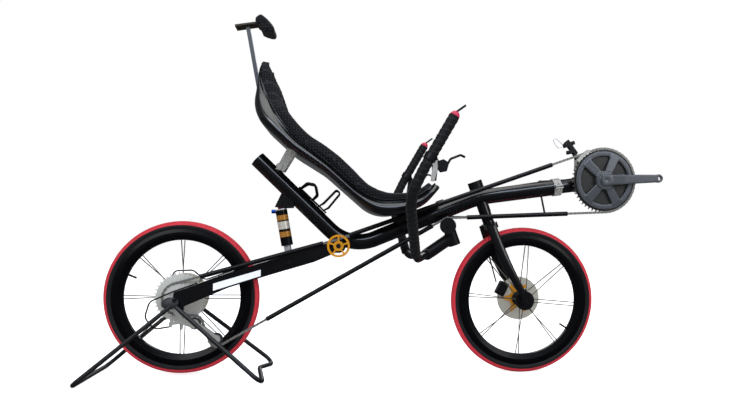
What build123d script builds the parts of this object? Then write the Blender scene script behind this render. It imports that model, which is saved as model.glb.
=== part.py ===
from build123d import *
import os
from math import acos, asin, atan2, ceil, cos, degrees, hypot, pi, radians, sin, tan

os.makedirs("parts", exist_ok=True)

# Recumbent bicycle with under-seat steering, on a hub stand.
# Millimetres. X forward, Y to the rider's left, Z up, floor at zero.
# Heights named UP are above the floor, places named ALONG are ahead of the rear axle.

# Driving dimensions
WHEEL_R = 231.0
WHEELBASE = 1057.8
STAND_LIFT = 10.4
HEAD_ANGLE = 70.0
FORK_RAKE = 20.0
TYRE_R = 14.0
FRAME_TUBE_R = 25.0
FRAME_WALL = 2.5
CHAIN_PITCH = 12.7
CHAIN_SIDE = 45.0
CRANK_LENGTH = 170.0
CRANK_RISE_ANGLE = 2.4
GRIP_SIDE = 300.0
SEAT_WIDTH = 300.0
RUN_GAP = 0.05
SEAT_GAP = 0.3
CUT_OVERRUN = 5.0
BOOM_R = FRAME_TUBE_R - FRAME_WALL - SEAT_GAP

# Bottom bracket and the pivots on the frame
BB_ALONG = 1307.0
BB_UP = 614.0
BB_SHELL_R = 23.0
BB_SHELL_HALF = 34.0
CRANK_EYE_R = 13.0
CRANK_AXLE_R = 12.0
PIVOT_ALONG = 471.0
PIVOT_UP = 401.0
STEER_PIVOT_REACH = 127.0

# Hub stand
FOOT_BACK = 267.0
FOOT_FRONT = 262.0
FOOT_SIDE = 138.0
STAND_TUBE_R = 6.5

FULL_TURN = 360.0
QUARTER_TURN = 90.0
REAR_X = (
    FOOT_BACK + STAND_TUBE_R - BB_ALONG - CRANK_LENGTH * cos(radians(CRANK_RISE_ANGLE)) - CRANK_EYE_R
) / 2
REAR_UP = WHEEL_R + STAND_LIFT

nodes = {}


def at(along, up, side=0.0):
    return Vector(REAR_X + along, side, up)


def rod(start, end, radius):
    reach = end - start
    return Solid.make_cylinder(radius, reach.length, Plane(origin=start, z_dir=reach))


def pipe(points, bends, radius, bore=0.0):
    route = FilletPolyline(*points, radius=bends)
    section = Plane(origin=route @ 0, z_dir=route % 0)
    body = sweep(section * Circle(radius), path=route)
    if bore:
        body = body - sweep(section * Circle(bore), path=route)
    return body


def side_plate(points, low_side, high_side):
    outline = Wire.make_polygon([at(along, up, low_side) for along, up in points], close=True)
    return Solid.extrude(Face(outline), Vector(0, high_side - low_side, 0))


def disc(along, up, radius, low_side, high_side):
    return rod(at(along, up, low_side), at(along, up, high_side), radius)


def ring_solid(profile):
    outline = Wire.make_polygon([Vector(radius, side, 0) for radius, side in profile], close=True)
    return Solid.revolve(Face(outline), FULL_TURN, Axis.Y)


def both_sides(shape):
    return [shape, mirror(shape, about=Plane.XZ)]


def fuse(pieces):
    whole = pieces[0]
    for piece in pieces[1:]:
        whole = whole + piece
    return whole


# Steering axes: the head axis and, parallel to it, the handlebar's pivot axis
STEER_UP = Vector(-cos(radians(HEAD_ANGLE)), 0, sin(radians(HEAD_ANGLE)))
STEER_AHEAD = Vector(sin(radians(HEAD_ANGLE)), 0, cos(radians(HEAD_ANGLE)))
FRONT_AXLE = at(WHEELBASE, WHEEL_R)
HEAD_FOOT = FRONT_AXLE - STEER_AHEAD * FORK_RAKE
BAR_FOOT = HEAD_FOOT - STEER_AHEAD * STEER_PIVOT_REACH


def on_head(up, side=0.0):
    climb = (up - HEAD_FOOT.Z) / STEER_UP.Z
    return HEAD_FOOT + STEER_UP * climb + Vector(0, side, 0)


def on_bar_pivot(up, side=0.0):
    climb = (up - BAR_FOOT.Z) / STEER_UP.Z
    return BAR_FOOT + STEER_UP * climb + Vector(0, side, 0)


# Main frame tube: from its open rear end down to the swingarm pivot, up to the head and out to the boom clamp
TUBE_END = (220.0, 666.0)
TUBE_LOW = (505.0, 391.0)
TUBE_HEAD = (910.6, 557.1)
TUBE_CLAMP = (1180.0, 595.0)
TUBE_LOW_BEND = 130.0
TUBE_HEAD_BEND = 300.0
HEAD_TUBE_R = 19.0
STEERER_R = 14.0
HEAD_TOP_UP = 584.0
HEAD_LOW_UP = 508.0
PIVOT_TUBE_R = 17.0
PIVOT_PIN_R = 8.0
PIVOT_TOP_UP = 538.0
PIVOT_LOW_UP = 452.0
ARM_PIVOT_R = 22.0
ARM_PIVOT_HALF = FRAME_TUBE_R + 1.0
ARM_BOLT_R = 7.0
BRIDGE_LUG_R = 12.0
STRUT_LUG = (289.0, 641.0)
STRUT_LUG_HALF = 18.0
STRUT_BOLT_R = 4.0

tube_points = [at(*place) for place in (TUBE_END, TUBE_LOW, TUBE_HEAD, TUBE_CLAMP)]
tube_bends = [TUBE_LOW_BEND, TUBE_HEAD_BEND]
frame_body = pipe(tube_points, tube_bends, FRAME_TUBE_R)
frame_bore = pipe(tube_points, tube_bends, FRAME_TUBE_R - FRAME_WALL)
head_tube = rod(on_head(HEAD_LOW_UP), on_head(HEAD_TOP_UP), HEAD_TUBE_R)
pivot_tube = rod(on_bar_pivot(PIVOT_LOW_UP), on_bar_pivot(PIVOT_TOP_UP), PIVOT_TUBE_R)
arm_pivot = disc(PIVOT_ALONG, PIVOT_UP, ARM_PIVOT_R, -ARM_PIVOT_HALF, ARM_PIVOT_HALF)
strut_lug = disc(*STRUT_LUG, BRIDGE_LUG_R, -STRUT_LUG_HALF, STRUT_LUG_HALF)
outside = fuse([frame_body, head_tube, pivot_tube, arm_pivot, strut_lug]) - frame_bore
solid_head = rod(on_head(HEAD_LOW_UP), on_head(HEAD_TOP_UP), HEAD_TUBE_R) & frame_bore
solid_pivot = rod(on_bar_pivot(PIVOT_LOW_UP), on_bar_pivot(PIVOT_TOP_UP), PIVOT_TUBE_R) & frame_bore
outside = outside + solid_head + solid_pivot
outside = outside - rod(
    on_head(HEAD_LOW_UP - CUT_OVERRUN),
    on_head(HEAD_TOP_UP + CUT_OVERRUN),
    STEERER_R + RUN_GAP,
)
outside = outside - rod(
    on_bar_pivot(
        PIVOT_LOW_UP - CUT_OVERRUN
    ), on_bar_pivot(PIVOT_TOP_UP + CUT_OVERRUN), PIVOT_PIN_R + RUN_GAP
)
outside = outside - disc(
    PIVOT_ALONG,
    PIVOT_UP,
    ARM_BOLT_R,
    -ARM_PIVOT_HALF - CUT_OVERRUN,
    ARM_PIVOT_HALF + CUT_OVERRUN,
)
outside = outside - disc(
    *STRUT_LUG,
    STRUT_BOLT_R,
    -STRUT_LUG_HALF - CUT_OVERRUN,
    STRUT_LUG_HALF + CUT_OVERRUN,
)
nodes["main_frame"] = outside

# Boom: the inner tube that carries the bottom bracket
BOOM_START = 1060.0
boom_dir = (at(*TUBE_CLAMP) - at(*TUBE_HEAD)).normalized()
boom_start = at(*TUBE_CLAMP) - boom_dir * (TUBE_CLAMP[0] - BOOM_START)
boom_end = at(*TUBE_CLAMP) + boom_dir * (BB_ALONG - TUBE_CLAMP[0])
BOOM_WALL = 2.0
boom = rod(boom_start, boom_end, BOOM_R)
shell = disc(BB_ALONG, BB_UP, BB_SHELL_R, -BB_SHELL_HALF, BB_SHELL_HALF)
boom = boom - rod(boom_start, boom_end, BOOM_R - BOOM_WALL)
boom = boom - disc(BB_ALONG, BB_UP, BB_SHELL_R, -BB_SHELL_HALF, BB_SHELL_HALF) + shell
boom = boom - disc(
    BB_ALONG,
    BB_UP,
    CRANK_AXLE_R + RUN_GAP,
    -BB_SHELL_HALF - CUT_OVERRUN,
    BB_SHELL_HALF + CUT_OVERRUN,
)
nodes["boom"] = boom


# Boom clamp: a split band with a pinch bolt, over the end of the main tube
BAND_LENGTH = 24.0
BAND_THICK = 3.0
BAND_EAR = 7.0
BAND_SPLIT = 3.0
BAND_BOLT_R = 3.0
BAND_SETBACK = 2.0
band_end = at(*TUBE_CLAMP) - boom_dir * BAND_SETBACK
band_start = band_end - boom_dir * BAND_LENGTH
band_plane = Plane(origin=band_start, z_dir=boom_dir, x_dir=Vector(0, 0, 1))
EAR_THICK = 12.0
ear_box = Box(EAR_THICK, BAND_EAR * 2, BAND_LENGTH, align=(Align.CENTER, Align.MIN, Align.MIN))
ear_box = band_plane * Pos(0, FRAME_TUBE_R, 0) * ear_box
clamp_band = rod(band_start, band_end, FRAME_TUBE_R + BAND_THICK) + ear_box
split_box = Box(
    BAND_SPLIT,
    FRAME_TUBE_R + BAND_EAR + EAR_THICK,
    BAND_LENGTH,
    align=(Align.CENTER, Align.MIN, Align.MIN),
)
clamp_band = clamp_band - band_plane * split_box - rod(band_start, band_end, FRAME_TUBE_R)
bolt_mid = band_plane.origin + band_plane.y_dir * (FRAME_TUBE_R + BAND_EAR) + boom_dir * (BAND_LENGTH / 2)
BAND_BOLT_HALF = 12.0
band_bolt_reach = Vector(0, 0, BAND_BOLT_HALF)
band_bolt = rod(bolt_mid - band_bolt_reach, bolt_mid + band_bolt_reach, BAND_BOLT_R)
nodes["boom_clamp"] = clamp_band + band_bolt

# Swingarm: two legs beside the rear wheel that join in one box beam, from the dropouts to the pivot
ARM_TOP = [(-6.0, 263.0), (145.0, 318.0), (437.0, 408.0)]
ARM_BOTTOM = [(450.0, 374.0), (398.0, 351.0), (235.0, 302.0), (146.0, 275.0), (20.0, 221.0), (-12.0, 222.0)]
DROPOUT_SIDE = 67.5
DROPOUT_THICK = 6.0
ARM_HALF = 27.0
ARM_EAR_HALF = 34.0
ARM_EAR_ALONG = 415.0
ARM_SLOT_END = 246.0
ARM_SLOT_HALF = 22.0
ARM_OUT_TAPER = (110.0, 268.0)
ARM_IN_TAPER = 100.0
ARM_REAR_CUT = 26.0
AXLE_R = 6.0
SHOCK_FOOT = (322.0, 351.0)
SHOCK_SLOT_HALF = 14.0
BOLT_HEAD = 4.0
SHOCK_SLOT_LOW = 14.4
SHOCK_SLOT_HIGH = 72.0
SHOCK_SLOT_REACH = 24.0
SHOCK_BOLT_R = 5.0
FORK_EAR_GAP = 0.3
arm_side = side_plate(ARM_TOP + ARM_BOTTOM, -DROPOUT_SIDE * 2, DROPOUT_SIDE * 2)
arm_side = arm_side + disc(PIVOT_ALONG, PIVOT_UP, ARM_PIVOT_R, -DROPOUT_SIDE * 2, DROPOUT_SIDE * 2)
arm_side = arm_side + side_plate(
    [(437.0, 408.0), (PIVOT_ALONG, PIVOT_UP + 18.0), (PIVOT_ALONG, PIVOT_UP - 18.0), (450.0, 374.0)],
    -DROPOUT_SIDE * 2,
    DROPOUT_SIDE * 2,
)
leg_out = DROPOUT_SIDE + DROPOUT_THICK
half_outline = [
    (-ARM_REAR_CUT, DROPOUT_SIDE),
    (-ARM_REAR_CUT, leg_out),
    (ARM_OUT_TAPER[0], leg_out),
    (ARM_OUT_TAPER[1], ARM_HALF),
    (ARM_EAR_ALONG, ARM_EAR_HALF),
    (PIVOT_ALONG + ARM_PIVOT_R, ARM_EAR_HALF),
]
inner = [(ARM_IN_TAPER, DROPOUT_SIDE), (ARM_SLOT_END, ARM_SLOT_HALF)]
plan_points = (
    [at(a, 0, s) for a, s in half_outline]
    + [at(a, 0, -s) for a, s in reversed(half_outline)]
    + [at(a, 0, -s) for a, s in inner]
    + [at(a, 0, s) for a, s in reversed(inner)]
)
plan_face = Face(Wire.make_polygon(plan_points, close=True))
arm_plan = Solid.extrude(plan_face, Vector(0, 0, REAR_UP * 2))
swingarm = arm_side & arm_plan
swingarm = swingarm - side_plate(
    [(430.0, 300.0), (430.0, 500.0), (520.0, 500.0), (520.0, 300.0)],
    -ARM_PIVOT_HALF - FORK_EAR_GAP,
    ARM_PIVOT_HALF + FORK_EAR_GAP,
)
swingarm = swingarm - disc(PIVOT_ALONG, PIVOT_UP, ARM_BOLT_R, -DROPOUT_SIDE, DROPOUT_SIDE)
swingarm = swingarm - disc(0, REAR_UP, AXLE_R, -DROPOUT_SIDE * 2, DROPOUT_SIDE * 2)
shock_slot = side_plate(
    [
        (SHOCK_FOOT[0] - SHOCK_SLOT_REACH, SHOCK_FOOT[1] - SHOCK_SLOT_LOW),
        (SHOCK_FOOT[0] + SHOCK_SLOT_REACH, SHOCK_FOOT[1] - SHOCK_SLOT_LOW),
        (SHOCK_FOOT[0] + SHOCK_SLOT_REACH, SHOCK_FOOT[1] + SHOCK_SLOT_HIGH),
        (SHOCK_FOOT[0] - SHOCK_SLOT_REACH, SHOCK_FOOT[1] + SHOCK_SLOT_HIGH),
    ],
    -SHOCK_SLOT_HALF,
    SHOCK_SLOT_HALF,
)
swingarm = swingarm - shock_slot - disc(*SHOCK_FOOT, SHOCK_BOLT_R, -DROPOUT_SIDE, DROPOUT_SIDE)
nodes["swingarm"] = swingarm

# Bolts: swingarm pivot, shock foot, shock head
PIVOT_BOLT_HALF = ARM_EAR_HALF
IDLER_SIDE = CHAIN_SIDE
IDLER_HALF = 6.0
IDLER_BOLT_OUT = IDLER_SIDE + IDLER_HALF + 5.0
pivot_bolt = disc(PIVOT_ALONG, PIVOT_UP, ARM_BOLT_R, -IDLER_BOLT_OUT, PIVOT_BOLT_HALF + BOLT_HEAD)

# Shock: bracket under the main tube, body, shaft and lever
SHOCK_HEAD = (290.0, 527.0)
SHOCK_BODY_R = 18.0
SHOCK_EYE_R = 9.0
SHOCK_EYE_HALF = 10.0
SHOCK_SHAFT_R = 7.0
SHOCK_SLEEVE_R = 11.0
SHOCK_SLEEVE_END = 28.0
SHOCK_BOLT_OUT = 20.0
PLATE_THICK = 5.0
shock_top = at(*SHOCK_HEAD)
shock_foot = at(*SHOCK_FOOT)
shock_dir = (shock_foot - shock_top).normalized()
SHOCK_NECK = 6.0
SHOCK_NECK_SINK = 5.0
SHOCK_BODY_SHARE = 0.72
SHAFT_EYE_SHARE = 0.6
KNOB_DOWN = 8.0
shock_length = (shock_foot - shock_top).length
body_start = shock_top + shock_dir * (SHOCK_EYE_R + SHOCK_NECK)
body_end = shock_top + shock_dir * (shock_length * SHOCK_BODY_SHARE)
shaft_end = shock_foot - shock_dir * SHOCK_EYE_R * SHAFT_EYE_SHARE
shock_body = rod(body_start, body_end, SHOCK_BODY_R)
shock_body = shock_body + disc(*SHOCK_HEAD, SHOCK_EYE_R, -SHOCK_EYE_HALF, SHOCK_EYE_HALF)
shock_body = shock_body + rod(shock_top, body_start + shock_dir * SHOCK_NECK_SINK, SHOCK_EYE_R)
shock_body = shock_body - disc(*SHOCK_HEAD, SHOCK_BOLT_R, -SHOCK_BOLT_OUT, SHOCK_BOLT_OUT)
nodes["shock_body"] = shock_body
shock_shaft = rod(body_end, shaft_end, SHOCK_SHAFT_R) + disc(
    *SHOCK_FOOT,
    SHOCK_EYE_R,
    -SHOCK_EYE_HALF,
    SHOCK_EYE_HALF,
)
shock_shaft = shock_shaft - disc(*SHOCK_FOOT, SHOCK_BOLT_R, -SHOCK_BOLT_OUT, SHOCK_BOLT_OUT)
nodes["shock_shaft"] = shock_shaft + rod(
    body_end,
    shock_foot - shock_dir * SHOCK_SLEEVE_END,
    SHOCK_SLEEVE_R,
)
SHOCK_BRACKET = [(275.0, 518.0), (302.0, 515.0), (331.0, 516.0), (334.0, 540.0), (300.0, 572.0)]
bracket = None
for low in (SHOCK_EYE_HALF + SEAT_GAP, -SHOCK_EYE_HALF - SEAT_GAP - PLATE_THICK):
    plate = side_plate(SHOCK_BRACKET, low, low + PLATE_THICK)
    bracket = plate if bracket is None else bracket + plate
bracket = bracket - frame_body
bracket = bracket - disc(*SHOCK_HEAD, SHOCK_BOLT_R, -SHOCK_BOLT_OUT, SHOCK_BOLT_OUT)
nodes["shock_bracket"] = bracket
pivot_bolts = [
    pivot_bolt,
    disc(*SHOCK_HEAD, SHOCK_BOLT_R, -SHOCK_BOLT_OUT, SHOCK_BOLT_OUT),
    disc(*SHOCK_FOOT, SHOCK_BOLT_R, -ARM_HALF - BOLT_HEAD, ARM_HALF + BOLT_HEAD),
]
nodes["pivot_bolts"] = Compound(children=pivot_bolts)
KNOB_R = 6.0
KNOB_REACH = 12.0
knob_root = body_start + shock_dir * KNOB_DOWN + Vector(-1, 0, 0) * SHOCK_BODY_R
nodes["shock_knob"] = rod(
    knob_root + Vector(1, 0, 0),
    knob_root - Vector(KNOB_REACH, 0, 0),
    KNOB_R,
) - shock_body

# Seat: a moulded shell swept along the rider's back, with a pad in it
SEAT_POINTS = [
    # along, up
    (236.0, 932.0),
    (214.0, 785.0),
    (330.0, 680.0),
    (425.0, 622.0),
    (575.0, 492.0),
    (640.0, 493.5),
    (722.0, 521.0),
    (776.0, 582.0),
]
SEAT_BENDS = [110.0, 160.0, 150.0, 110.0, 140.0, 110.0]
SHELL_DEPTH = 46.0
SHELL_WALL = 4.0
SHELL_CORNER = 34.0
PAD_SHARE = 0.8
PAD_THICK = 34.0
PAD_STAND = 26.0
seat_half = SEAT_WIDTH / 2
seat_path = FilletPolyline(*[at(*place) for place in SEAT_POINTS], radius=SEAT_BENDS)
seat_plane = Plane(origin=seat_path @ 0, x_dir=Vector(0, 1, 0), z_dir=seat_path % 0)


SAME_PLACE = 1e-6


def channel(half, low, high, corner, thick):
    outline = [
        (-half, high),
        (-half, low),
        (half, low),
        (half, high),
        (half - thick, high),
        (half - thick, low + thick),
        (thick - half, low + thick),
        (thick - half, high),
    ]
    face = Face(Wire.make_polygon([Vector(x, y, 0) for x, y in outline], close=True))
    rounds = [v for v in face.vertices() if abs(v.Y - low) < SAME_PLACE]
    face = face.fillet_2d(corner, rounds)
    inner_low = [v for v in face.vertices() if abs(v.Y - low - thick) < SAME_PLACE]
    inner_rounds = [v for v in inner_low if abs(abs(v.X) - half + thick) < SAME_PLACE]
    return face.fillet_2d(corner - thick, inner_rounds)


up_sign = 1 if seat_plane.y_dir.X > 0 else -1
shell_face = channel(seat_half, 0.0, SHELL_DEPTH, SHELL_CORNER, SHELL_WALL)
if up_sign < 0:
    shell_face = mirror(shell_face, about=Plane.XZ)
seat_shell = sweep(seat_plane * shell_face, path=seat_path)
pad_low = SHELL_WALL + SEAT_GAP
pad_face = channel(
    seat_half - SHELL_WALL - SEAT_GAP, pad_low, SHELL_DEPTH + PAD_STAND, SHELL_CORNER - SHELL_WALL - SEAT_GAP, PAD_THICK * PAD_SHARE
)
if up_sign < 0:
    pad_face = mirror(pad_face, about=Plane.XZ)
seat_pad = sweep(seat_plane * pad_face, path=seat_path)
SHELL_TRIMS = [
    # side views of what is cut away over the rim, at the top and at the nose
    [
        (240.0, 945.0),
        (239.0, 910.0),
        (248.0, 872.0),
        (260.0, 835.0),
        (280.0, 792.0),
        (304.0, 749.0),
        (420.0, 850.0),
        (420.0, 960.0),
    ],
    [
        (640.0, 543.0),
        (667.0, 543.0),
        (700.0, 549.0),
        (732.0, 562.0),
        (764.0, 590.0),
        (820.0, 680.0),
        (640.0, 680.0),
    ],
]
PAD_TRIMS = [
    [
        (250.0, 945.0),
        (257.0, 933.0),
        (276.0, 908.0),
        (291.0, 884.0),
        (306.0, 845.0),
        (316.0, 803.0),
        (420.0, 820.0),
        (420.0, 960.0),
    ],
    [
        (640.0, 567.0),
        (680.0, 567.0),
        (700.0, 570.0),
        (728.0, 592.0),
        (752.0, 622.0),
        (800.0, 700.0),
        (640.0, 700.0),
    ],
]
SEAT_ROUND = 60.0
NOSE_ALONG = 777.0
NOSE_UP = 440.0
TOP_UP = 933.0
TOP_ALONG = 180.0
TRIM_DEEP = 300.0
TRIM_BLOCK = 200.0
trim_wide = SEAT_WIDTH + CUT_OVERRUN
nose_keep = extrude(RectangleRounded(TRIM_BLOCK * 2, trim_wide, SEAT_ROUND), TRIM_DEEP)
nose_trim = Pos(TRIM_BLOCK, 0, TRIM_DEEP / 2) * Box(TRIM_BLOCK, trim_wide * 2, TRIM_DEEP) - nose_keep
nose_trim = Pos(at(NOSE_ALONG - TRIM_BLOCK, NOSE_UP)) * nose_trim
top_keep = extrude(RectangleRounded(TRIM_BLOCK * 2, trim_wide, SEAT_ROUND), TRIM_DEEP)
top_trim = Pos(TRIM_BLOCK, 0, TRIM_DEEP / 2) * Box(TRIM_BLOCK, trim_wide * 2, TRIM_DEEP) - top_keep
top_trim = Pos(
    at(TOP_ALONG, TOP_UP - TRIM_BLOCK)
) * Rot(0, -QUARTER_TURN, 0) * Pos(0, 0, -TRIM_DEEP) * top_trim
for outline in SHELL_TRIMS:
    seat_shell = seat_shell - side_plate(outline, -SEAT_WIDTH, SEAT_WIDTH)
for outline in PAD_TRIMS:
    seat_pad = seat_pad - side_plate(outline, -SEAT_WIDTH, SEAT_WIDTH)
nodes["seat_shell"] = seat_shell - nose_trim - top_trim
nodes["seat_pad"] = seat_pad - nose_trim - top_trim

# Seat supports
STRUT_HEAD_R = 9.0
STRUT_HEAD = 4.0
STRUT_SIDE = STRUT_LUG_HALF + SEAT_GAP
STRUT_THICK = 5.0
STRUT_OUTLINE = [(278.0, 634.0), (303.0, 627.0), (346.0, 700.0), (320.0, 714.0)]
strut = None
for low in (STRUT_SIDE, -STRUT_SIDE - STRUT_THICK):
    plate = side_plate(STRUT_OUTLINE, low, low + STRUT_THICK)
    strut = plate if strut is None else strut + plate
BLOCK_DEEP = 100.0
shell_block = sweep(
    seat_plane * (Pos(0, up_sign * BLOCK_DEEP / 2, 0) * Rectangle(SEAT_WIDTH, BLOCK_DEEP)),
    path=seat_path,
)
strut = strut - shell_block
STRUT_BOLT_HALF = STRUT_SIDE + STRUT_THICK + 4.0
strut = strut + disc(*STRUT_LUG, STRUT_BOLT_R, -STRUT_BOLT_HALF, STRUT_BOLT_HALF)
strut = strut + disc(
    *STRUT_LUG,
    STRUT_HEAD_R,
    STRUT_SIDE + STRUT_THICK,
    STRUT_SIDE + STRUT_THICK + STRUT_HEAD,
)
strut = strut + disc(
    *STRUT_LUG,
    STRUT_HEAD_R,
    -STRUT_SIDE - STRUT_THICK - STRUT_HEAD,
    -STRUT_SIDE - STRUT_THICK,
)
nodes["seat_strut"] = strut
MOUNT_OUTLINE = [(652.0, 440.0), (682.0, 450.0), (682.0, 520.0), (652.0, 520.0)]
SEAT_MOUNT_HALF = 18.0
seat_mount = side_plate(MOUNT_OUTLINE, -SEAT_MOUNT_HALF, SEAT_MOUNT_HALF) - frame_body - shell_block
nodes["seat_mount"] = seat_mount

# Headrest
POST_FOOT = (222.0, 885.0)
POST_TOP = (186.0, 1077.0)
POST_HALF = 9.0
POST_THICK = 12.0
POST_BOLT = (226.0, 903.0)
POST_BOLT_R = 5.0
POST_BOLT_HALF = 14.0
post_dir = (at(*POST_TOP) - at(*POST_FOOT)).normalized()
post_plane = Plane(origin=at(*POST_FOOT), x_dir=Vector(0, 1, 0), z_dir=post_dir)
post_length = (at(*POST_TOP) - at(*POST_FOOT)).length
post = post_plane * Box(
    POST_HALF * 2,
    POST_THICK,
    post_length,
    align=(Align.CENTER, Align.CENTER, Align.MIN),
)
post = post + disc(*POST_BOLT, POST_BOLT_R, -POST_BOLT_HALF, POST_BOLT_HALF) - shell_block
nodes["headrest_post"] = post
PLATE_HALF = 22.0
HEAD_PLATE = [(151.0, 1066.0), (230.0, 1081.0), (230.0, 1086.0), (151.0, 1072.0)]
head_plate = side_plate(
    HEAD_PLATE,
    -PLATE_HALF,
    PLATE_HALF,
) - post
nodes["headrest_plate"] = head_plate
REST_HALF = 70.0
REST_OUTLINE = [
    (219.0, 1062.0),
    (222.0, 1080.0),
    (235.0, 1088.0),
    (246.0, 1080.0),
    (262.0, 1053.0),
    (276.0, 1031.0),
    (273.0, 1019.0),
    (260.0, 1015.0),
    (238.0, 1026.0),
    (233.0, 1042.0),
]
rest_pad = side_plate(REST_OUTLINE, -REST_HALF, REST_HALF) - head_plate
nodes["headrest_pad"] = rest_pad

# Wheels: tyre, deep rim, hub, spokes in eight pairs and a brake disc
RIM_SEAT_R = 207.0
RIM_WALL_LOW_R = 189.0
RIM_SHOULDER = 8.0
SPOKE_HEAD_R = 176.5
RIM_INNER_R = 173.5
RIM_HALF = 12.0
RIM_INNER_HALF = 6.0
SPOKE_R = 1.0
SPOKE_PAIRS = 8
SPOKE_PAIR_ANGLE = 1.8
SPOKE_TURN = 4.0
VALVE_R = 3.0
VALVE_REACH = 26.0
DISC_R = 70.0
DISC_THICK = 1.8
DISC_BAND = 14.0
DISC_ARM = 7.0
DISC_SIDE = 42.0
CARRIER_GAP = 3.0
DISC_ARMS = 6
CASSETTE_CORE_R = 20.0
DISC_CARRIER_R = 46.0
HUB_R = 12.0
FLANGE_STEP = 4.0
SPOKE_FOOT_R = 19.2
FLANGE_R = 24.0
FLANGE_THICK = 5.0
END_CAP_R = 11.0

tyre_outline = Circle(TYRE_R)
tyre_face = Pos(WHEEL_R - TYRE_R, 0, 0) * tyre_outline
tyre_face = tyre_face - Pos(RIM_SEAT_R - TYRE_R, 0, 0) * Rectangle(TYRE_R * 2, TYRE_R * 2 + TYRE_R * 2)
tyre = revolve(tyre_face, Axis.Y)
rim = ring_solid(
    [
        (RIM_SEAT_R, -RIM_HALF + 2.0),
        (RIM_SEAT_R, RIM_HALF - 2.0),
        (RIM_WALL_LOW_R + RIM_SHOULDER, RIM_HALF),
        (RIM_WALL_LOW_R, RIM_HALF),
        (RIM_INNER_R, RIM_INNER_HALF),
        (RIM_INNER_R, -RIM_INNER_HALF),
        (RIM_WALL_LOW_R, -RIM_HALF),
        (RIM_WALL_LOW_R + RIM_SHOULDER, -RIM_HALF),
    ]
)


def lathe(steps, bore):
    profile = [(bore, steps[0][0])]
    for side, radius in steps:
        profile.append((radius, side))
    profile.append((bore, steps[-1][0]))
    return ring_solid(profile)


def hub_body(cap_half, right_flange, left_flange):
    steps = [
        (-cap_half, END_CAP_R),
        (-right_flange - FLANGE_THICK, END_CAP_R),
        (-right_flange - FLANGE_THICK, FLANGE_R),
        (-right_flange, FLANGE_R),
        (-right_flange + FLANGE_STEP, HUB_R),
        (left_flange - FLANGE_STEP, HUB_R),
        (left_flange, FLANGE_R),
        (left_flange + FLANGE_THICK, FLANGE_R),
        (left_flange + FLANGE_THICK, END_CAP_R),
        (cap_half, END_CAP_R),
    ]
    return lathe(steps, AXLE_R + RUN_GAP)


def spoke_set(right_flange, left_flange, first_angle):
    spokes = []
    for index in range(SPOKE_PAIRS):
        middle = first_angle + index * FULL_TURN / SPOKE_PAIRS
        for turn, side in ((-1, -right_flange - FLANGE_THICK / 2), (1, left_flange + FLANGE_THICK / 2)):
            angle = radians(middle + turn * SPOKE_PAIR_ANGLE)
            foot_angle = radians(middle + turn * SPOKE_PAIR_ANGLE * SPOKE_TURN)
            start = Vector(SPOKE_FOOT_R * cos(foot_angle), side, SPOKE_FOOT_R * sin(foot_angle))
            end = Vector(SPOKE_HEAD_R * cos(angle), 0, SPOKE_HEAD_R * sin(angle))
            spokes.append(rod(start, end, SPOKE_R))
    return spokes


def brake_disc():
    blade = ring_solid(
        [
            (DISC_R - DISC_BAND, DISC_SIDE),
            (DISC_R, DISC_SIDE),
            (DISC_R, DISC_SIDE + DISC_THICK),
            (DISC_R - DISC_BAND, DISC_SIDE + DISC_THICK),
        ]
    )
    carrier = ring_solid(
        [
            (END_CAP_R, DISC_SIDE - CARRIER_GAP),
            (DISC_CARRIER_R / 2, DISC_SIDE - CARRIER_GAP),
            (DISC_CARRIER_R / 2, DISC_SIDE + DISC_THICK),
            (END_CAP_R, DISC_SIDE + DISC_THICK),
        ]
    )
    arms = None
    arm_start = DISC_CARRIER_R / 2 - DISC_THICK
    arm_length = DISC_R - DISC_BAND + DISC_THICK - arm_start
    for index in range(DISC_ARMS):
        arm = Pos(
            arm_start + arm_length / 2,
            DISC_SIDE + DISC_THICK / 2,
            0,
        ) * Box(arm_length, DISC_THICK, DISC_ARM)
        arm = Rot(0, index * FULL_TURN / DISC_ARMS, 0) * arm
        arms = arm if arms is None else arms + arm
    return blade + carrier + arms


def valve(angle):
    turned = radians(angle)
    outward = Vector(cos(turned), 0, sin(turned))
    return rod(outward * (RIM_INNER_R - VALVE_REACH), outward * (RIM_INNER_R + 2.0), VALVE_R)


HUBS = [
    # name, centre, cap half width, right flange, left flange, first spoke angle, valve angle
    ("front", FRONT_AXLE, 49.7, 26.0, 26.0, 40.0, -32.0),
    ("rear", at(0, REAR_UP), 67.2, 14.0, 28.0, 45.0, 157.0),
]
for name, centre, cap_half, right_flange, left_flange, first_angle, valve_angle in HUBS:
    place = Pos(centre)
    hub = hub_body(cap_half, right_flange, left_flange)
    spokes = fuse([hub] + [spoke - rim for spoke in spoke_set(right_flange, left_flange, first_angle)])
    nodes[f"{name}_tyre"] = place * tyre
    nodes[f"{name}_rim"] = place * (rim + valve(valve_angle) - spokes)
    nodes[f"{name}_hub"] = place * spokes
    nodes[f"{name}_disc"] = place * (brake_disc() - hub)

# Cassette: nine sprockets on the right of the rear hub
SPROCKET_PITCH_RADII = [24.3, 28.3, 34.4, 40.5, 46.5, 52.6, 58.6, 66.7, 74.8]
SPROCKET_STEP = 4.6
SPROCKET_THICK = 1.8
TOOTH_TIP = 3.6
CHAIN_SPROCKET = 4
cassette = None
for index, pitch_r in enumerate(SPROCKET_PITCH_RADII):
    middle = -CHAIN_SIDE + (index - CHAIN_SPROCKET) * SPROCKET_STEP
    sprocket = rod(
        Vector(
            0,
            middle - SPROCKET_THICK / 2,
            0,
        ), Vector(0, middle + SPROCKET_THICK / 2, 0), pitch_r + TOOTH_TIP
    )
    cassette = sprocket if cassette is None else cassette + sprocket
core_low = -CHAIN_SIDE - CHAIN_SPROCKET * SPROCKET_STEP - SPROCKET_THICK / 2
core_high = -CHAIN_SIDE + CHAIN_SPROCKET * SPROCKET_STEP + SPROCKET_THICK / 2
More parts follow.
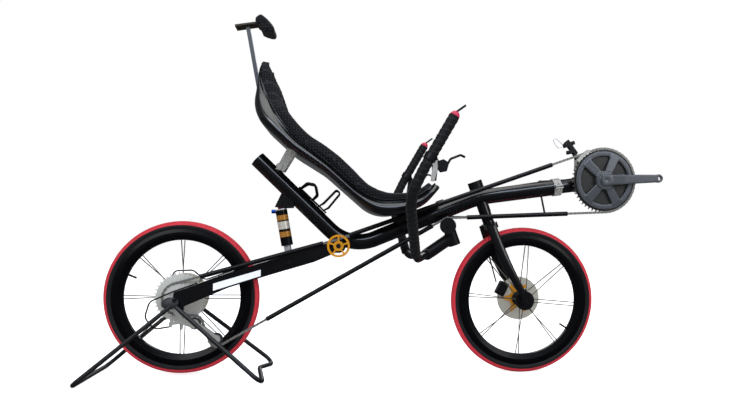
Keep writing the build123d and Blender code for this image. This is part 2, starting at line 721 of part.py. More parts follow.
cassette = cassette + rod(Vector(0, core_low, 0), Vector(0, core_high, 0), CASSETTE_CORE_R)
cassette = cassette - rod(Vector(0, core_low - 1, 0), Vector(0, core_high + 1, 0), END_CAP_R)
nodes["cassette"] = Pos(at(0, REAR_UP)) * cassette

# Axles
SKEWER_OUT = 24.0
rear_axle = disc(0, REAR_UP, AXLE_R, -DROPOUT_SIDE - SKEWER_OUT, DROPOUT_SIDE + SKEWER_OUT)
nodes["rear_axle"] = rear_axle
FORK_SIDE = 50.0
FORK_TIP_THICK = 8.0
front_axle = disc(
    WHEELBASE,
    WHEEL_R,
    AXLE_R,
    -FORK_SIDE - FORK_TIP_THICK - BOLT_HEAD,
    FORK_SIDE + FORK_TIP_THICK + BOLT_HEAD,
)
nodes["front_axle"] = front_axle

# Fork: steerer, crown and two swept blades
CROWN_LOW_UP = 458.0
CROWN_TOP_UP = 476.0
TIP_GAP = 0.2
FORK_TIP = [
    (1034.0, 262.0),
    (1052.0, 272.0),
    (WHEELBASE + 13.0, WHEEL_R + 4.0),
    (WHEELBASE - 13.0, WHEEL_R - 4.0),
]
CROWN_LONG = 34.0
CROWN_ROUND = 14.0
PARALLEL = 0.99
STEERER_SINK = 4.0
CROWN_HALF = 50.0
BLADE_POINTS = [
    # along, up, side, fore and aft width, side width
    (944.0, 471.0, 42.0, 32.0, 16.0),
    (968.0, 405.0, 49.0, 31.0, 15.0),
    (1043.0, 258.0, 55.5, 22.0, 10.0),
]
TIP_R = 14.0
blades = None
for sign in (-1, 1):
    sections = []
    for index, (along, up, side, long_width, side_width) in enumerate(BLADE_POINTS):
        previous = BLADE_POINTS[max(index - 1, 0)]
        following = BLADE_POINTS[min(index + 1, len(BLADE_POINTS) - 1)]
        run = Vector(following[0] - previous[0], 0, following[1] - previous[1])
        plane = Plane(origin=at(along, up, sign * side), x_dir=Vector(0, 1, 0), z_dir=run)
        sections.append(plane * Ellipse(side_width / 2, long_width / 2))
    blade = loft(sections)
    tip_low = sign * (FORK_SIDE + TIP_GAP)
    tip_high = sign * (FORK_SIDE + FORK_TIP_THICK)
    tip = disc(WHEELBASE, WHEEL_R, TIP_R, min(tip_low, tip_high), max(tip_low, tip_high))
    web = side_plate(
        FORK_TIP,
        min(tip_low, tip_high),
        max(tip_low, tip_high),
    )
    side = blade + tip + web
    blades = side if blades is None else blades + side
crown = Plane(origin=on_head(CROWN_LOW_UP), x_dir=Vector(0, 1, 0), z_dir=STEER_UP) * Box(
    CROWN_HALF * 2, CROWN_LONG, CROWN_TOP_UP - CROWN_LOW_UP, align=(Align.CENTER, Align.CENTER, Align.MIN)
)
crown = crown.fillet(CROWN_ROUND, crown.edges().filter_by(lambda e: abs((e % 0).dot(STEER_UP)) > PARALLEL))
CROWN_RACE_R = 18.0
crown_race = rod(on_head(CROWN_TOP_UP - 2.0), on_head(HEAD_LOW_UP - SEAT_GAP), CROWN_RACE_R)
steerer = rod(on_head(CROWN_LOW_UP + STEERER_SINK), on_head(HEAD_TOP_UP + STEERER_SINK), STEERER_R)
LINK_SIDE = 45.0
LINK_UP = 494.0
LINK_PIN_R = 3.0
LINK_ARM_R = 7.0
fork = blades + crown + crown_race + steerer
fork = fork - disc(WHEELBASE, WHEEL_R, AXLE_R, -CROWN_HALF * 2, CROWN_HALF * 2)
nodes["fork"] = fork
CAP_R = 23.0
CAP_TOP_UP = 607.0
head_cap = rod(on_head(HEAD_TOP_UP + SEAT_GAP), on_head(CAP_TOP_UP), CAP_R) - steerer
nodes["head_cap"] = head_cap

# Crankset
RING_TEETH = 50
RING_R = CHAIN_PITCH / (2 * sin(pi / RING_TEETH))
SMALL_RING_R = CHAIN_PITCH / (2 * sin(pi / 34))
RING_THICK = 2.0
RING_BAND = 14.0
BIG_RING_BAND = 35.0
SPIDER_ANGLES = [62.0, 122.0, 238.0, 302.0]
SPIDER_POST_R = 78.0
SPIDER_BLADE_MID = 52.0
SPIDER_BLADE_LONG = 72.0
SPIDER_BLADE_WIDE = 24.0
SPIDER_BOLT_R = 5.0
SMALL_RING_STEP = 7.0
RING_CUT = 9.0
CRANK_BOSS_R = 18.0
CRANK_BOSS_HALF = 17.0
SPIDER_HUB_R = 30.0
SPIDER_LOW = -CHAIN_SIDE - 5.0
SPIDER_THICK = 4.5
ARM_SIDE = 60.0
PEDAL_R = 7.14
PEDAL_LENGTH = 13.0
bb = at(BB_ALONG, BB_UP)
ring_outer = rod(
    Vector(0, -CHAIN_SIDE - RING_THICK / 2, 0),
    Vector(0, -CHAIN_SIDE + RING_THICK / 2, 0),
    RING_R + TOOTH_TIP,
)
ring_outer = ring_outer - rod(
    Vector(0, -CHAIN_SIDE - RING_CUT, 0),
    Vector(0, -CHAIN_SIDE + RING_CUT, 0),
    RING_R - BIG_RING_BAND,
)
small_side = -CHAIN_SIDE + SMALL_RING_STEP
ring_small = rod(
    Vector(0, small_side - RING_THICK / 2, 0),
    Vector(0, small_side + RING_THICK / 2, 0),
    SMALL_RING_R + TOOTH_TIP,
)
ring_small = ring_small - rod(
    Vector(0, small_side - RING_CUT, 0),
    Vector(0, small_side + RING_CUT, 0),
    SMALL_RING_R - RING_BAND,
)
nodes["chainrings"] = Compound(children=[Pos(bb) * ring_outer, Pos(bb) * ring_small])


def crank_arm(side_low, side_high, sign):
    arm = rod(Vector(0, side_low, 0), Vector(0, side_high, 0), CRANK_BOSS_R)
    arm = arm + rod(
        Vector(sign * CRANK_LENGTH, side_low, 0),
        Vector(sign * CRANK_LENGTH, side_high, 0),
        CRANK_EYE_R,
    )
    outline = [
        Vector(0, side_low, -CRANK_BOSS_HALF),
        Vector(0, side_low, CRANK_BOSS_HALF),
        Vector(sign * CRANK_LENGTH, side_low, CRANK_EYE_R - 1.0),
        Vector(sign * CRANK_LENGTH, side_low, 1.0 - CRANK_EYE_R),
    ]
    arm = arm + Solid.extrude(
        Face(Wire.make_polygon(outline, close=True)),
        Vector(0, side_high - side_low, 0),
    )
    hole = rod(
        Vector(sign * CRANK_LENGTH, side_low - 1, 0), Vector(sign * CRANK_LENGTH, side_high + 1, 0), PEDAL_R
    )
    return arm - hole


right_arm = crank_arm(-ARM_SIDE - PEDAL_LENGTH, -ARM_SIDE, 1)
left_arm = crank_arm(ARM_SIDE, ARM_SIDE + PEDAL_LENGTH, -1)
spider = rod(Vector(0, SPIDER_LOW - SPIDER_THICK, 0), Vector(0, SPIDER_LOW, 0), SPIDER_HUB_R)
for angle in SPIDER_ANGLES:
    blade = Pos(
        SPIDER_BLADE_MID,
        SPIDER_LOW - SPIDER_THICK / 2,
        0,
    ) * Box(SPIDER_BLADE_LONG, SPIDER_THICK, SPIDER_BLADE_WIDE)
    spider = spider + Rot(0, -angle, 0) * blade
spider = spider + rod(Vector(0, -ARM_SIDE, 0), Vector(0, SPIDER_LOW - SPIDER_THICK, 0), CRANK_BOSS_R)
for angle in SPIDER_ANGLES:
    ray = Vector(cos(radians(angle)), 0, sin(radians(angle)))
    post_at = ray * SPIDER_POST_R
    ring_face = Vector(0, -CHAIN_SIDE - RING_THICK / 2, 0)
    spider = spider + rod(post_at + Vector(0, SPIDER_LOW, 0), post_at + ring_face, SPIDER_BOLT_R)
    inner_at = ray * (SMALL_RING_R - RING_BAND + SPIDER_BOLT_R)
    inner_face = Vector(0, small_side - RING_THICK / 2, 0)
    spider = spider + rod(inner_at + Vector(0, SPIDER_LOW, 0), inner_at + inner_face, SPIDER_BOLT_R)
axle = rod(Vector(0, -ARM_SIDE - 2.0, 0), Vector(0, ARM_SIDE + 2.0, 0), CRANK_AXLE_R)
spin = Rot(0, -CRANK_RISE_ANGLE, 0)
nodes["crank_right"] = Pos(bb) * spin * (right_arm + spider + axle)
nodes["crank_left"] = Pos(bb) * spin * (left_arm - axle)

# Idlers: the gold guide wheel on the swingarm pivot and the black wheel under the frame
IDLER_R = 34.5
IDLER_GROOVE_R = 20.0
WINDOWS = 5
WINDOW_OUT_R = 28.0
WINDOW_IN_R = 15.5
WINDOW_SPOKE = 5.0
WINDOW_DEEP = 2.5
RETURN_IDLER = (808.0, 465.0)
RETURN_R = 24.0
CHAIN_HALF_HEIGHT = 4.0
CHAIN_HALF_WIDTH = 3.2
CHAIN_PLATE = 1.0
idler_steps = [
    (-IDLER_SIDE - IDLER_HALF, IDLER_R),
    (-IDLER_SIDE - IDLER_HALF + 2.0, IDLER_R),
    (-IDLER_SIDE - IDLER_HALF + 2.0, IDLER_GROOVE_R - CHAIN_HALF_HEIGHT - 1.0),
    (-IDLER_SIDE + IDLER_HALF, IDLER_GROOVE_R - CHAIN_HALF_HEIGHT - 1.0),
]
idler = lathe(idler_steps, ARM_BOLT_R + RUN_GAP)
window_face = -IDLER_SIDE - IDLER_HALF
window = lathe(
    [(window_face - CUT_OVERRUN, WINDOW_OUT_R), (window_face + WINDOW_DEEP, WINDOW_OUT_R)],
    WINDOW_IN_R,
)
for index in range(WINDOWS):
    spoke = Pos(IDLER_R / 2, window_face, 0) * Box(IDLER_R, IDLER_R, WINDOW_SPOKE)
    window = window - Rot(0, index * FULL_TURN / WINDOWS - QUARTER_TURN, 0) * spoke
idler = idler - window
nodes["power_idler"] = Pos(at(PIVOT_ALONG, PIVOT_UP)) * idler
return_steps = [
    (-CHAIN_SIDE - 4.6, RETURN_R + 1.0),
    (-CHAIN_SIDE - 3.6, RETURN_R + 1.0),
    (-CHAIN_SIDE - 3.6, RETURN_R - CHAIN_HALF_HEIGHT - 0.4),
    (-CHAIN_SIDE + 3.6, RETURN_R - CHAIN_HALF_HEIGHT - 0.4),
    (-CHAIN_SIDE + 3.6, RETURN_R + 1.0),
    (-CHAIN_SIDE + 4.6, RETURN_R + 1.0),
]
RETURN_BOLT_R = 4.0
return_wheel = lathe(return_steps, RETURN_BOLT_R + RUN_GAP)
nodes["return_idler"] = Pos(at(*RETURN_IDLER)) * return_wheel
RETURN_BOLT_OUT = 9.0
RETURN_BOLT_SINK = 4.0
RETURN_POST_R = 8.0
RETURN_POST_GAP = 5.0
return_bolt = disc(
    *RETURN_IDLER,
    RETURN_BOLT_R,
    -CHAIN_SIDE - RETURN_BOLT_OUT,
    -PIVOT_TUBE_R + RETURN_BOLT_SINK,
)
return_bolt = return_bolt + disc(
    *RETURN_IDLER,
    RETURN_POST_R,
    -CHAIN_SIDE + RETURN_POST_GAP,
    -PIVOT_TUBE_R + RETURN_BOLT_SINK,
)
nodes["return_idler_bolt"] = return_bolt - nodes["main_frame"]

# Chain: one closed run round the ring, the idler, the derailleur and the cassette
GUIDE_JOCKEY = (48.0, 168.0)
TENSION_JOCKEY = (112.0, 122.0)
JOCKEY_R = 22.5
KINK_R = 300.0
KINK_ANGLE = 17.6
kink_turn = radians(KINK_ANGLE)
kink_place = (
    PIVOT_ALONG - (IDLER_GROOVE_R + KINK_R) * sin(kink_turn),
    PIVOT_UP + (IDLER_GROOVE_R + KINK_R) * cos(kink_turn),
)
CHAIN_WHEELS = [
    # along, up, pitch radius, turn: 1 to the left of travel and -1 to the right
    (0.0, REAR_UP, SPROCKET_PITCH_RADII[CHAIN_SPROCKET], -1),
    (kink_place[0], kink_place[1], KINK_R, 1),
    (BB_ALONG, BB_UP, RING_R, -1),
    (RETURN_IDLER[0], RETURN_IDLER[1], RETURN_R, 1),
    (TENSION_JOCKEY[0], TENSION_JOCKEY[1], JOCKEY_R, -1),
    (GUIDE_JOCKEY[0], GUIDE_JOCKEY[1], JOCKEY_R, 1),
]


def belt_contacts(offset):
    wheels = [(a, u, r - turn * offset, turn) for a, u, r, turn in CHAIN_WHEELS]
    contacts = []
    for index, (a0, u0, r0, s0) in enumerate(wheels):
        a1, u1, r1, s1 = wheels[(index + 1) % len(wheels)]
        spread = hypot(a1 - a0, u1 - u0)
        heading = atan2(u1 - u0, a1 - a0) - asin((s1 * r1 - s0 * r0) / spread)
        left = (-sin(heading), cos(heading))
        leave = (a0 - s0 * r0 * left[0], u0 - s0 * r0 * left[1])
        arrive = (a1 - s1 * r1 * left[0], u1 - s1 * r1 * left[1])
        contacts.append((leave, arrive))
    return wheels, contacts


def belt_wire(offset, side):
    wheels, contacts = belt_contacts(offset)
    edges = []
    for index, (leave, arrive) in enumerate(contacts):
        edges.append(Edge.make_line(at(*leave, side), at(*arrive, side)))
        a1, u1, r1, s1 = wheels[(index + 1) % len(wheels)]
        onward = contacts[(index + 1) % len(contacts)][0]
        start = atan2(arrive[1] - u1, arrive[0] - a1)
        finish = atan2(onward[1] - u1, onward[0] - a1)
        sweep_angle = ((finish - start) * s1) % (2 * pi)
        half_way = start + s1 * sweep_angle / 2
        middle = (a1 + r1 * cos(half_way), u1 + r1 * sin(half_way))
        edges.append(Edge.make_three_point_arc(at(*arrive, side), at(*middle, side), at(*onward, side)))
    return Wire(edges)


chain_plates = []
for side in (-CHAIN_SIDE - CHAIN_HALF_WIDTH, -CHAIN_SIDE + CHAIN_HALF_WIDTH - CHAIN_PLATE):
    face = Face(belt_wire(CHAIN_HALF_HEIGHT, side), [belt_wire(-CHAIN_HALF_HEIGHT, side)])
    chain_plates.append(Solid.extrude(face, Vector(0, CHAIN_PLATE, 0)))
nodes["chain"] = Compound(children=chain_plates)

# Chain tubes on the straight runs
CHAIN_TUBE_R = 7.0
CHAIN_TUBE_BORE = 5.8
runs = belt_contacts(0.0)[1]
TUBE_SPANS = [
    # run, start and end as shares of the run
    (0, 0.16, 0.935),
    (1, 0.035, 0.83),
    (2, 0.245, 0.88),
    (3, 0.055, 0.80),
]
tubes = []
for run, start_share, end_share in TUBE_SPANS:
    leave, arrive = runs[run]
    first = Vector(*leave)
    last = Vector(*arrive)
    low = first + (last - first) * start_share
    high = first + (last - first) * end_share
    tube = rod(at(low.X, low.Y, -CHAIN_SIDE), at(high.X, high.Y, -CHAIN_SIDE), CHAIN_TUBE_R)
    tube = tube - rod(at(*leave, -CHAIN_SIDE), at(*arrive, -CHAIN_SIDE), CHAIN_TUBE_BORE)
    tubes.append(tube)
nodes["chain_tubes"] = Compound(children=tubes)

# Handlebar under the seat: a U bar on a stem that turns on its own pivot
BAR_R = 11.0
TAPE_R = 15.5
BAR_SIDE = 290.0
BAR_LOW_SIDE = 120.0
BAR_HALF = [
    (777.0, 757.0, GRIP_SIDE),
    (700.0, 622.0, GRIP_SIDE),
    (661.0, 540.0, BAR_SIDE),
    (700.0, 362.0, BAR_LOW_SIDE),
]
BAR_MIDDLE = (748.0, 374.0, 0.0)
BAR_BENDS = [180.0, 110.0, 70.0, 60.0, 70.0, 110.0, 180.0]
bar_points = [at(a, u, -s) for a, u, s in BAR_HALF] + [at(*BAR_MIDDLE)] + [
    at(a, u, s) for a, u, s in reversed(BAR_HALF)
]
handlebar = pipe(bar_points, BAR_BENDS, BAR_R)
nodes["handlebar"] = handlebar
TAPE_POINTS = 5
TAPE_BENDS = 3
tape_points = bar_points[:TAPE_POINTS]
tape_path = FilletPolyline(*tape_points, radius=BAR_BENDS[:TAPE_BENDS])
tape = sweep(Plane(origin=tape_path @ 0, z_dir=tape_path % 0) * Circle(TAPE_R), path=tape_path)
KEEP_BOX = 4000.0
TAPE_PAST = 14.0
keep = Box(KEEP_BOX, KEEP_BOX, KEEP_BOX, align=(Align.CENTER, Align.MAX, Align.CENTER))
keep = Pos(0, -BAR_LOW_SIDE + TAPE_PAST, 0) * keep
tape = (tape & keep) - handlebar
nodes["grips"] = Compound(children=both_sides(tape))
grip_dir = (bar_points[0] - bar_points[1]).normalized()
PLUG_LONG = 6.0
PLUG_R = 13.9
SHIFTER_LONG = 14.0
SHIFTER_R = 5.0
SHIFTER_ARM_R = 3.0
SHIFTER_ROOT = (783.0, 769.0)
SHIFTER_TIP = (808.0, 787.0)
plug = rod(bar_points[0], bar_points[0] + grip_dir * PLUG_LONG, PLUG_R)
nodes["bar_plugs"] = Compound(children=both_sides(plug))
shifter = rod(bar_points[0] + grip_dir * PLUG_LONG, bar_points[0] + grip_dir * SHIFTER_LONG, SHIFTER_R)
shifter = shifter + rod(at(*SHIFTER_ROOT, -GRIP_SIDE), at(*SHIFTER_TIP, -GRIP_SIDE), SHIFTER_ARM_R)
shifter = shifter - plug
nodes["shift_levers"] = Compound(children=both_sides(shifter))
STEM_R = 14.0
STEM_ARM_UP = 430.0
STEM_LOW_UP = 404.0
STEM_PIN_UP = 410.0
STEM_R = 19.0
STEM_CAP_SINK = 2.0
STEM_CAP_LONG = 8.0
STEM_CAP_R = 13.0
CLAMP_THICK = 6.0
CLAMP_HALF = 17.0
LINK_ARM_UP = 434.0
LINK_ARM_ROOT = 12.0
LINK_POST_GAP = 6.0
LINK_POST_R = 5.6
clamp_reach = Vector(0, CLAMP_HALF, 0)
stem_top = on_bar_pivot(STEM_ARM_UP)
stem = rod(stem_top, at(*BAR_MIDDLE), STEM_R)
stem_body = rod(on_bar_pivot(STEM_LOW_UP), on_bar_pivot(PIVOT_LOW_UP - SEAT_GAP), STEM_R)
stem_pin = rod(on_bar_pivot(STEM_PIN_UP), on_bar_pivot(PIVOT_TOP_UP + STEM_CAP_SINK), PIVOT_PIN_R)
clamp_half = rod(at(*BAR_MIDDLE) - clamp_reach, at(*BAR_MIDDLE) + clamp_reach, BAR_R + CLAMP_THICK)
bar_link_arm = rod(
    on_bar_pivot(LINK_ARM_UP, LINK_ARM_ROOT),
    on_bar_pivot(LINK_ARM_UP, LINK_SIDE),
    LINK_ARM_R,
)
bar_link_post = rod(
    on_bar_pivot(STEM_ARM_UP, LINK_SIDE),
    on_bar_pivot(LINK_UP - LINK_POST_GAP, LINK_SIDE),
    LINK_POST_R,
)
stem = stem + stem_body + stem_pin + clamp_half + bar_link_arm + bar_link_post - handlebar
stem_cap = rod(
    on_bar_pivot(PIVOT_TOP_UP + SEAT_GAP),
    on_bar_pivot(PIVOT_TOP_UP + STEM_CAP_LONG),
    STEM_CAP_R,
)
nodes["stem"] = stem + stem_cap

# Steering link on the left, between the stem's arm and the fork
rod_start = on_bar_pivot(LINK_UP, LINK_SIDE)
rod_end = on_head(LINK_UP, LINK_SIDE)
LINK_R = 4.0
LINK_EYE_R = 7.5
LINK_PIN_LONG = 8.0
FORK_PIN_LONG = 12.0
FORK_PIN_TOP = 5.0
FORK_EAR_LOW = 16.0
FORK_EAR_TOP = 4.5
PIN_GAP = 0.5
LINK_CUT = 20.0
link_cut = STEER_UP * LINK_CUT
link = rod(rod_start, rod_end, LINK_R)
link_eye = rod(rod_start - STEER_UP * LINK_R, rod_start + STEER_UP * LINK_R, LINK_EYE_R)
link = link + link_eye + rod(rod_end - STEER_UP * LINK_R, rod_end + STEER_UP * LINK_R, LINK_EYE_R)
link_pin = rod(rod_start - STEER_UP * LINK_PIN_LONG, rod_start + STEER_UP * LINK_PIN_LONG, LINK_PIN_R)
fork_pin = rod(rod_end - STEER_UP * FORK_PIN_LONG, rod_end + STEER_UP * FORK_PIN_TOP, LINK_PIN_R)
link = link - rod(rod_start - link_cut, rod_start + link_cut, LINK_PIN_R + RUN_GAP)
link = link - rod(rod_end - link_cut, rod_end + link_cut, LINK_PIN_R + PIN_GAP)
nodes["steering_rod"] = link
nodes["stem"] = nodes["stem"] + link_pin
fork_ear = rod(rod_end - STEER_UP * FORK_EAR_LOW, rod_end - STEER_UP * FORK_EAR_TOP, LINK_ARM_R)
nodes["fork"] = nodes["fork"] + fork_ear + fork_pin

# Hub stand: two folding U frames of steel tube under plastic heads at the axle
HEAD_BLOCK_LOW = DROPOUT_SIDE + DROPOUT_THICK + 4.0
HEAD_BLOCK_HIGH = DROPOUT_SIDE + SKEWER_OUT
STAND_REAR_TOP = (-8.0, 226.0)
STAND_FRONT_TOP = (4.0, 222.0)
STAND_TOP_SIDE = 86.0
REAR_STAND_BENDS = [26.0, 26.0]
FRONT_STAND_BENDS = [26.0, 60.0, 26.0]
KICK_BACK = 30.0
KICK_UP = 24.0
rear_points = [
    at(*STAND_REAR_TOP, -STAND_TOP_SIDE),
    at(-FOOT_BACK, STAND_TUBE_R, -FOOT_SIDE),
    at(-FOOT_BACK, STAND_TUBE_R, FOOT_SIDE),
    at(*STAND_REAR_TOP, STAND_TOP_SIDE),
]
front_points = [
    at(*STAND_FRONT_TOP, -STAND_TOP_SIDE),
    at(FOOT_FRONT, STAND_TUBE_R, -FOOT_SIDE),
    at(FOOT_FRONT - KICK_BACK, KICK_UP, 0.0),
    at(FOOT_FRONT, STAND_TUBE_R, FOOT_SIDE),
    at(*STAND_FRONT_TOP, STAND_TOP_SIDE),
]
stand_rear = pipe(rear_points, REAR_STAND_BENDS, STAND_TUBE_R)
stand_front = pipe(front_points, FRONT_STAND_BENDS, STAND_TUBE_R)
HEAD_OUTLINE = [(-34.0, 206.0), (8.0, 206.0), (12.0, 246.0), (-24.0, 246.0)]
head_block = side_plate(HEAD_OUTLINE, -HEAD_BLOCK_HIGH, -HEAD_BLOCK_LOW) - rear_axle
head_blocks = both_sides(head_block)
for block in head_blocks:
    stand_rear = stand_rear - block
    stand_front = stand_front - block
nodes["stand_rear"] = stand_rear
nodes["stand_front"] = stand_front - stand_rear
nodes["stand_heads"] = Compound(children=head_blocks)

# Rear derailleur
CAGE_PLATE = 2.0
JOCKEY_GAP = 0.3
JOCKEY_HALF = 1.5
JOCKEY_HUB_R = 6.0
CAGE_ARM_HALF = 9.0
GUIDE_EYE_R = 13.0
TENSION_EYE_R = 12.0
CAGE_GAP = 4.4
jockeys = []
for place in (GUIDE_JOCKEY, TENSION_JOCKEY):
    wheel = disc(
        *place,
        JOCKEY_R - CHAIN_HALF_HEIGHT - JOCKEY_GAP,
        -CHAIN_SIDE - JOCKEY_HALF,
        -CHAIN_SIDE + JOCKEY_HALF,
    )
    wheel = wheel + disc(*place, JOCKEY_HUB_R, -CHAIN_SIDE - CAGE_GAP, -CHAIN_SIDE + CAGE_GAP)
    jockeys.append(wheel)
nodes["jockey_wheels"] = Compound(children=jockeys)
cage = None
for low in (-CHAIN_SIDE - CAGE_GAP - CAGE_PLATE, -CHAIN_SIDE + CAGE_GAP):
    g = Vector(*GUIDE_JOCKEY)
    t = Vector(*TENSION_JOCKEY)
    across = Vector(t.Y - g.Y, g.X - t.X).normalized() * CAGE_ARM_HALF
    outline = [
        (g.X + across.X, g.Y + across.Y),
        (t.X + across.X, t.Y + across.Y),
        (t.X - across.X, t.Y - across.Y),
        (g.X - across.X, g.Y - across.Y),
    ]
    plate = side_plate(outline, low, low + CAGE_PLATE)
    plate = plate + disc(*GUIDE_JOCKEY, GUIDE_EYE_R, low, low + CAGE_PLATE)
    plate = plate + disc(*TENSION_JOCKEY, TENSION_EYE_R, low, low + CAGE_PLATE)
    cage = plate if cage is None else cage + plate
nodes["derailleur_cage"] = cage
LINK_PLATE = [(8.0, 196.0), (46.0, 158.0), (56.0, 176.0), (24.0, 212.0)]
LINK_PLATE_IN = 63.0
KNUCKLE_LONG = 18.0
HANGER_BOLT = (14.0, 206.0)
HANGER_EYE_R = 11.0
HANGER_BOLT_R = 5.0
HANGER_PLATE = [(-4.0, 226.0), (22.0, 226.0), (24.0, 200.0), (6.0, 196.0)]
cage_face = -CHAIN_SIDE - CAGE_GAP - CAGE_PLATE
LINK_ARM = [(-24.0, 203.0), (8.0, 206.0), (24.0, 178.0), (10.0, 160.0), (-18.0, 165.0)]
LINK_ARM_OUT = 76.5
LINK_ARM_IN = 67.0
derailleur = disc(*GUIDE_JOCKEY, TENSION_EYE_R, cage_face - KNUCKLE_LONG, cage_face)
derailleur = derailleur + side_plate(LINK_PLATE, -LINK_ARM_OUT, -LINK_PLATE_IN)
derailleur = derailleur + disc(*HANGER_BOLT, HANGER_EYE_R, -LINK_ARM_OUT, -DROPOUT_SIDE - DROPOUT_THICK)
derailleur = derailleur + disc(*HANGER_BOLT, HANGER_BOLT_R, -DROPOUT_SIDE - DROPOUT_THICK, -DROPOUT_SIDE)
derailleur = derailleur + side_plate(LINK_ARM, -LINK_ARM_OUT, -LINK_ARM_IN)
nodes["rear_derailleur"] = derailleur
hanger = side_plate(HANGER_PLATE, -DROPOUT_SIDE - DROPOUT_THICK, -DROPOUT_SIDE)
nodes["swingarm"] = swingarm + (hanger - derailleur)

# Front derailleur: a cage of two plates over the ring, a body behind it, and a post from a band on the boom
CAGE_IN = 4.0
CAGE_OUT = 14.0
CAGE_LOW_SIDE = 7.0
CAGE_HIGH_SIDE = 4.6
CAGE_SHEET = 1.5
CAGE_WEDGE = [(BB_ALONG, BB_UP), (1190.0, 705.0), (1205.0, 740.0), (1262.0, 745.0)]
CAGE_BRIDGE = [(1250.0, 711.5), (1228.0, 706.0), (1226.0, 717.0), (1246.0, 722.0)]
SHIFT_BODY = [(1179.0, 729.0), (1199.0, 748.0), (1245.0, 708.0), (1227.0, 681.0), (1196.0, 703.0)]
SHIFT_BODY_SIDE = 14.0
SHIFT_POST = (1236.0, 600.0)
SHIFT_POST_TOP = 700.0
SHIFT_POST_R = 8.0
SHIFT_BAND_START = 48.0
SHIFT_BAND_END = 68.0
SHIFT_BAND_THICK = 3.0
cage_side = -CHAIN_SIDE + CAGE_HIGH_SIDE + CAGE_SHEET
fd_plates = None
for low in (-CHAIN_SIDE - CAGE_LOW_SIDE, -CHAIN_SIDE + CAGE_HIGH_SIDE):
    band = disc(BB_ALONG, BB_UP, RING_R + CAGE_OUT, low, low + CAGE_SHEET)
    band = band - disc(BB_ALONG, BB_UP, RING_R - CAGE_IN, low, low + CAGE_SHEET)
    plate = band & side_plate(CAGE_WEDGE, low, low + CAGE_SHEET)
    fd_plates = plate if fd_plates is None else fd_plates + plate
fd_bridge = side_plate(CAGE_BRIDGE, -CHAIN_SIDE - CAGE_LOW_SIDE, cage_side)
fd_body = side_plate(SHIFT_BODY, cage_side, SHIFT_BODY_SIDE)
nodes["front_derailleur"] = fd_plates + fd_bridge + fd_body
band_low = at(*TUBE_CLAMP) + boom_dir * SHIFT_BAND_START
band_high = at(*TUBE_CLAMP) + boom_dir * SHIFT_BAND_END
fd_clamp = rod(band_low, band_high, BOOM_R + SHIFT_BAND_THICK)
fd_clamp = fd_clamp + rod(at(*SHIFT_POST), at(SHIFT_POST[0], SHIFT_POST_TOP), SHIFT_POST_R)
nodes["derailleur_post"] = fd_clamp - rod(boom_start, boom_end, BOOM_R) - nodes["front_derailleur"]

# Brake calipers
CALIPER_IN = 10.0
CALIPER_LONG = 46.0
CALIPER_WIDE = 30.0
CALIPER_THICK = 26.0
DISC_ROOM = 1.5
DISC_RIM_ROOM = 4.0
FRONT_CALIPER_LEAN = Vector(0.45, 0, 0.9)
REAR_CALIPER_LEAN = Vector(0.6, 0, 0.8)
REAR_BRIDGE = [(-20.0, 228.0), (18.0, 250.0), (-30.0, 296.0), (-66.0, 262.0)]
REAR_BRIDGE_IN = 15.0
REAR_BRIDGE_ROOM = 5.0
FRONT_CALIPER = (1003.0, 262.0)
front_caliper = Plane(
    origin=at(*FRONT_CALIPER, DISC_SIDE - CALIPER_IN), x_dir=FRONT_CALIPER_LEAN, z_dir=Vector(0, 1, 0)
) * Box(CALIPER_LONG, CALIPER_WIDE, CALIPER_THICK, align=(Align.CENTER, Align.CENTER, Align.MIN))
room_low = Vector(0, DISC_SIDE - DISC_ROOM, 0)
room_high = Vector(0, DISC_SIDE + DISC_THICK + DISC_ROOM, 0)
disc_room = rod(FRONT_AXLE + room_low, FRONT_AXLE + room_high, DISC_R + DISC_RIM_ROOM)
front_caliper = front_caliper - disc_room - nodes["fork"]
nodes["front_caliper"] = front_caliper
REAR_CALIPER = (-50.0, 275.0)
rear_caliper = Plane(
    origin=at(*REAR_CALIPER, DISC_SIDE - CALIPER_IN), x_dir=REAR_CALIPER_LEAN, z_dir=Vector(0, 1, 0)
) * Box(CALIPER_LONG, CALIPER_WIDE, CALIPER_THICK, align=(Align.CENTER, Align.CENTER, Align.MIN))
rear_room = Pos(at(0, REAR_UP) - FRONT_AXLE) * disc_room
bridge = side_plate(REAR_BRIDGE, DISC_SIDE + REAR_BRIDGE_IN, DROPOUT_SIDE)
bridge = bridge - disc(0, REAR_UP, END_CAP_R + REAR_BRIDGE_ROOM, 0, DROPOUT_SIDE)
rear_caliper = rear_caliper - rear_room + bridge
nodes["rear_caliper"] = rear_caliper

# Brake levers on brackets under the grips
LEVER_BAND = [(709.5, 638.6), (718.0, 653.4)]
LEVER_BRACKET = [(718.0, 652.0), (736.0, 640.0), (730.0, 584.0), (718.0, 584.0)]
LEVER_PERCH = [
    (732.0, 636.0),
    (748.0, 641.0),
    (763.0, 632.0),
    (757.0, 610.0),
    (742.0, 607.0),
    (733.0, 616.0),
]
LEVER_BLADE = [(756.0, 622.0), (768.0, 643.0), (795.0, 654.0), (807.0, 648.0)]
LEVER_BENDS = [8.0, 8.0]
LEVER_BAND_THICK = 2.5
BRACKET_HALF = 2.0
PERCH_HALF = 9.0
LEVER_R = 3.2
lever_bracket = side_plate(LEVER_BRACKET, -GRIP_SIDE - BRACKET_HALF, -GRIP_SIDE + BRACKET_HALF)
lever_band = rod(at(*LEVER_BAND[0], -GRIP_SIDE), at(*LEVER_BAND[1], -GRIP_SIDE), TAPE_R + LEVER_BAND_THICK)
lever_bracket = (lever_band + lever_bracket) - tape - handlebar
nodes["lever_brackets"] = Compound(children=both_sides(lever_bracket))
blade = side_plate(LEVER_PERCH, -GRIP_SIDE - PERCH_HALF, -GRIP_SIDE + PERCH_HALF)
